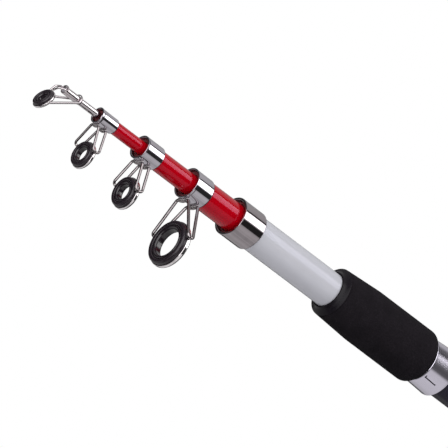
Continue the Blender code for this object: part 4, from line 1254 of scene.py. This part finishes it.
slide = turned("moving_hood")
pocket = slide.bore + POCKET_DEPTH
groove = slide.outer - GROOVE_DEPTH
outline = [(slide.front, slide.outer, 0.35 * MM), (slide.front - BAND, slide.outer, 0.2 * MM),
           (slide.front - BAND - 0.4 * MM, groove, 0.4 * MM),
           (slide.rear + BAND + 0.4 * MM, groove, 0.4 * MM), (slide.rear + BAND, slide.outer, 0.2 * MM),
           (slide.rear, slide.outer, 0.35 * MM), (slide.rear, slide.bore, 0.15 * MM),
           (slide.front - POCKET_LENGTH, slide.bore), (slide.front - POCKET_LENGTH, pocket),
           (slide.front, pocket, 0.2 * MM)]
turn_piece("sliding_hood", outline, brushed_steel, "hood_slider", "hood_steel", "moving_hood")
outline = plain_tube(turned("moving_hood_lining"), 0.15 * MM, 0.0, 0.0, 0.15 * MM)
turn_piece("hood_lining", outline, black_rubber, "hood_slider", "rubber", "moving_hood_lining")
outline = plain_tube(turned("nut_washer"), 0.3 * MM, 0.3 * MM, 0.0, 0.0)
turn_piece("steel_washer", outline, brushed_steel, "hood_nut", "hood_steel", "nut_washer")
print("moving hood, mm:", round((slide.front - slide.rear) / MM, 1))

# %% [markdown]
# The nut is moulded with sixteen flutes for wet fingers. A flute is a dip in the radius that
# depends only on the angle, and it fades out towards the rounded rims.

# %% The lock nut
FLUTES = 16
FLUTE_DEPTH = 0.6 * MM
FLUTE_HALF = math.radians(7.5)
NUT_EDGE, NUT_BORE_EDGE = 0.8 * MM, 0.2 * MM
FLUTED_SKIN = 1.2 * MM   # the flutes shape what is less than this under the outside

nut = turned("lock_nut")


def nut_shape(x, radius, angle):
    """Sink the flutes into the outside of the nut."""
    if radius > nut.outer - FLUTED_SKIN:
        nearest = (angle + math.pi / FLUTES) % (math.tau / FLUTES) - math.pi / FLUTES
        share = abs(nearest) / FLUTE_HALF
        if share < 1:
            radius = min(radius, nut.outer - FLUTE_DEPTH * (0.5 + 0.5 * math.cos(math.pi * share)))
    return x, radius


outline = plain_tube(nut, NUT_EDGE, NUT_EDGE, NUT_BORE_EDGE, NUT_BORE_EDGE)
piece = turn_piece("fluted_nut", outline, seat_plastic, "hood_nut", "black_plastic", "lock_nut", steps=8,
                   faces=16 * FLUTES, reshape=nut_shape)
print("nut faces:", len(piece.data.polygons))

# %% [markdown]
# ## The butt
#
# A steel sleeve is glued on the end of the butt section under the rear grip, with a thread inside
# for the plug. The plug carries a rubber seal, a foam pad that the closed sections rest on, and a
# rubber button for the rod to stand on. Its head is knurled, as fingers have to unscrew it. The
# knurls are a wave in the radius, as the nut's flutes are, and the hidden threads are left smooth.

# %% The threaded sleeve
FLANGE = 2.0 * MM
SOCKET = 10.3 * MM       # the length that is glued on the blank

sleeve = turned("butt_sleeve")
flange = sleeve.rear + FLANGE
step = sleeve.front - SOCKET
body_outer = outer_at("butt_sleeve", sleeve.front)
corners = corners_of("butt_sleeve")
front_bore = radii_of(corners[corners[:, 0] > sleeve.front - MM]).min()
outline = [(sleeve.front, body_outer, 0.3 * MM), (flange, body_outer), (flange, sleeve.outer, 0.5 * MM),
           (sleeve.rear, sleeve.outer, 0.5 * MM), (sleeve.rear, sleeve.bore, 0.2 * MM), (step, sleeve.bore),
           (step, front_bore), (sleeve.front, front_bore)]
turn_piece("threaded_sleeve", outline, ferrule_chrome, "handle", "ferrule_chrome", "butt_sleeve")
print("socket and thread bore, mm:", round(front_bore / MM, 2), round(sleeve.bore / MM, 2))

# %% The plug
KNURLS = 48
KNURL_DEPTH = 0.25 * MM
HEAD_LENGTH, HEAD_REAR = 16.0 * MM, 4.0 * MM     # the head, and where its knurling ends
KNURL_GAP = 1.2 * MM     # smooth band in front of the knurling
SEAL_PLAY = 0.15 * MM
CUP_DEPTH = 1.5 * MM

plug = turned("butt_plug")
button = turned("butt_button")
seal = turned("butt_seal")
stem = outer_at("butt_plug", plug.front)
head_front = plug.rear + HEAD_LENGTH
cup_radius = button.outer + 0.1 * MM
groove_front, groove_rear = seal.front + SEAL_PLAY, seal.rear - SEAL_PLAY
groove = seal.bore - 0.1 * MM


def plug_shape(x, radius, angle):
    """Knurl the cylindrical part of the head."""
    if radius > plug.outer - 0.02 * MM and plug.rear + HEAD_REAR < x < head_front - KNURL_GAP:
        radius -= KNURL_DEPTH * (0.5 - 0.5 * math.cos(KNURLS * angle))
    return x, radius


outline = [(plug.front, 0.0), (plug.front, stem, 0.5 * MM), (groove_front, stem), (groove_front, groove),
           (groove_rear, groove), (groove_rear, stem), (head_front, stem),
           (head_front, plug.outer, 0.6 * MM), (head_front - KNURL_GAP, plug.outer),
           (head_front - KNURL_GAP - HAIR, plug.outer), (plug.rear + HEAD_REAR - HAIR, plug.outer),
           (plug.rear + HEAD_REAR - 2 * HAIR, plug.outer), (plug.rear, plug.outer, 3.0 * MM),
           (plug.rear, cup_radius, 0.3 * MM), (plug.rear + CUP_DEPTH, cup_radius),
           (plug.rear + CUP_DEPTH, 0.0)]
turn_piece("knurled_plug", outline, seat_plastic, "butt_cap", "black_plastic", "butt_plug", steps=8,
           closed=False, faces=6 * KNURLS, reshape=plug_shape)
print("plug head, mm:", round(2 * plug.outer / MM, 1), "across")

# %% Seal, pad and button
outline = plain_tube(seal, 0.3 * MM, 0.3 * MM, 0.1 * MM, 0.1 * MM)
turn_piece("seal_ring", outline, black_rubber, "butt_cap", "rubber", "butt_seal")
pad = turned("butt_pad")
outline = [(pad.front, 0.0), (pad.front, pad.outer, 0.5 * MM), (pad.rear, pad.outer, 0.3 * MM),
           (pad.rear, 0.0)]
piece = turn_piece("foam_pad", outline, ground_foam, "butt_cap", "foam", "butt_pad", closed=False)
outline = [(button.front, 0.0), (button.front, button.outer, 0.1 * MM),
           (button.rear, button.outer, 0.6 * MM), (button.rear, 0.0)]
turn_piece("rubber_button", outline, black_rubber, "butt_cap", "rubber", "butt_button", closed=False)
print("button, mm:", round(2 * button.outer / MM, 1), "across")
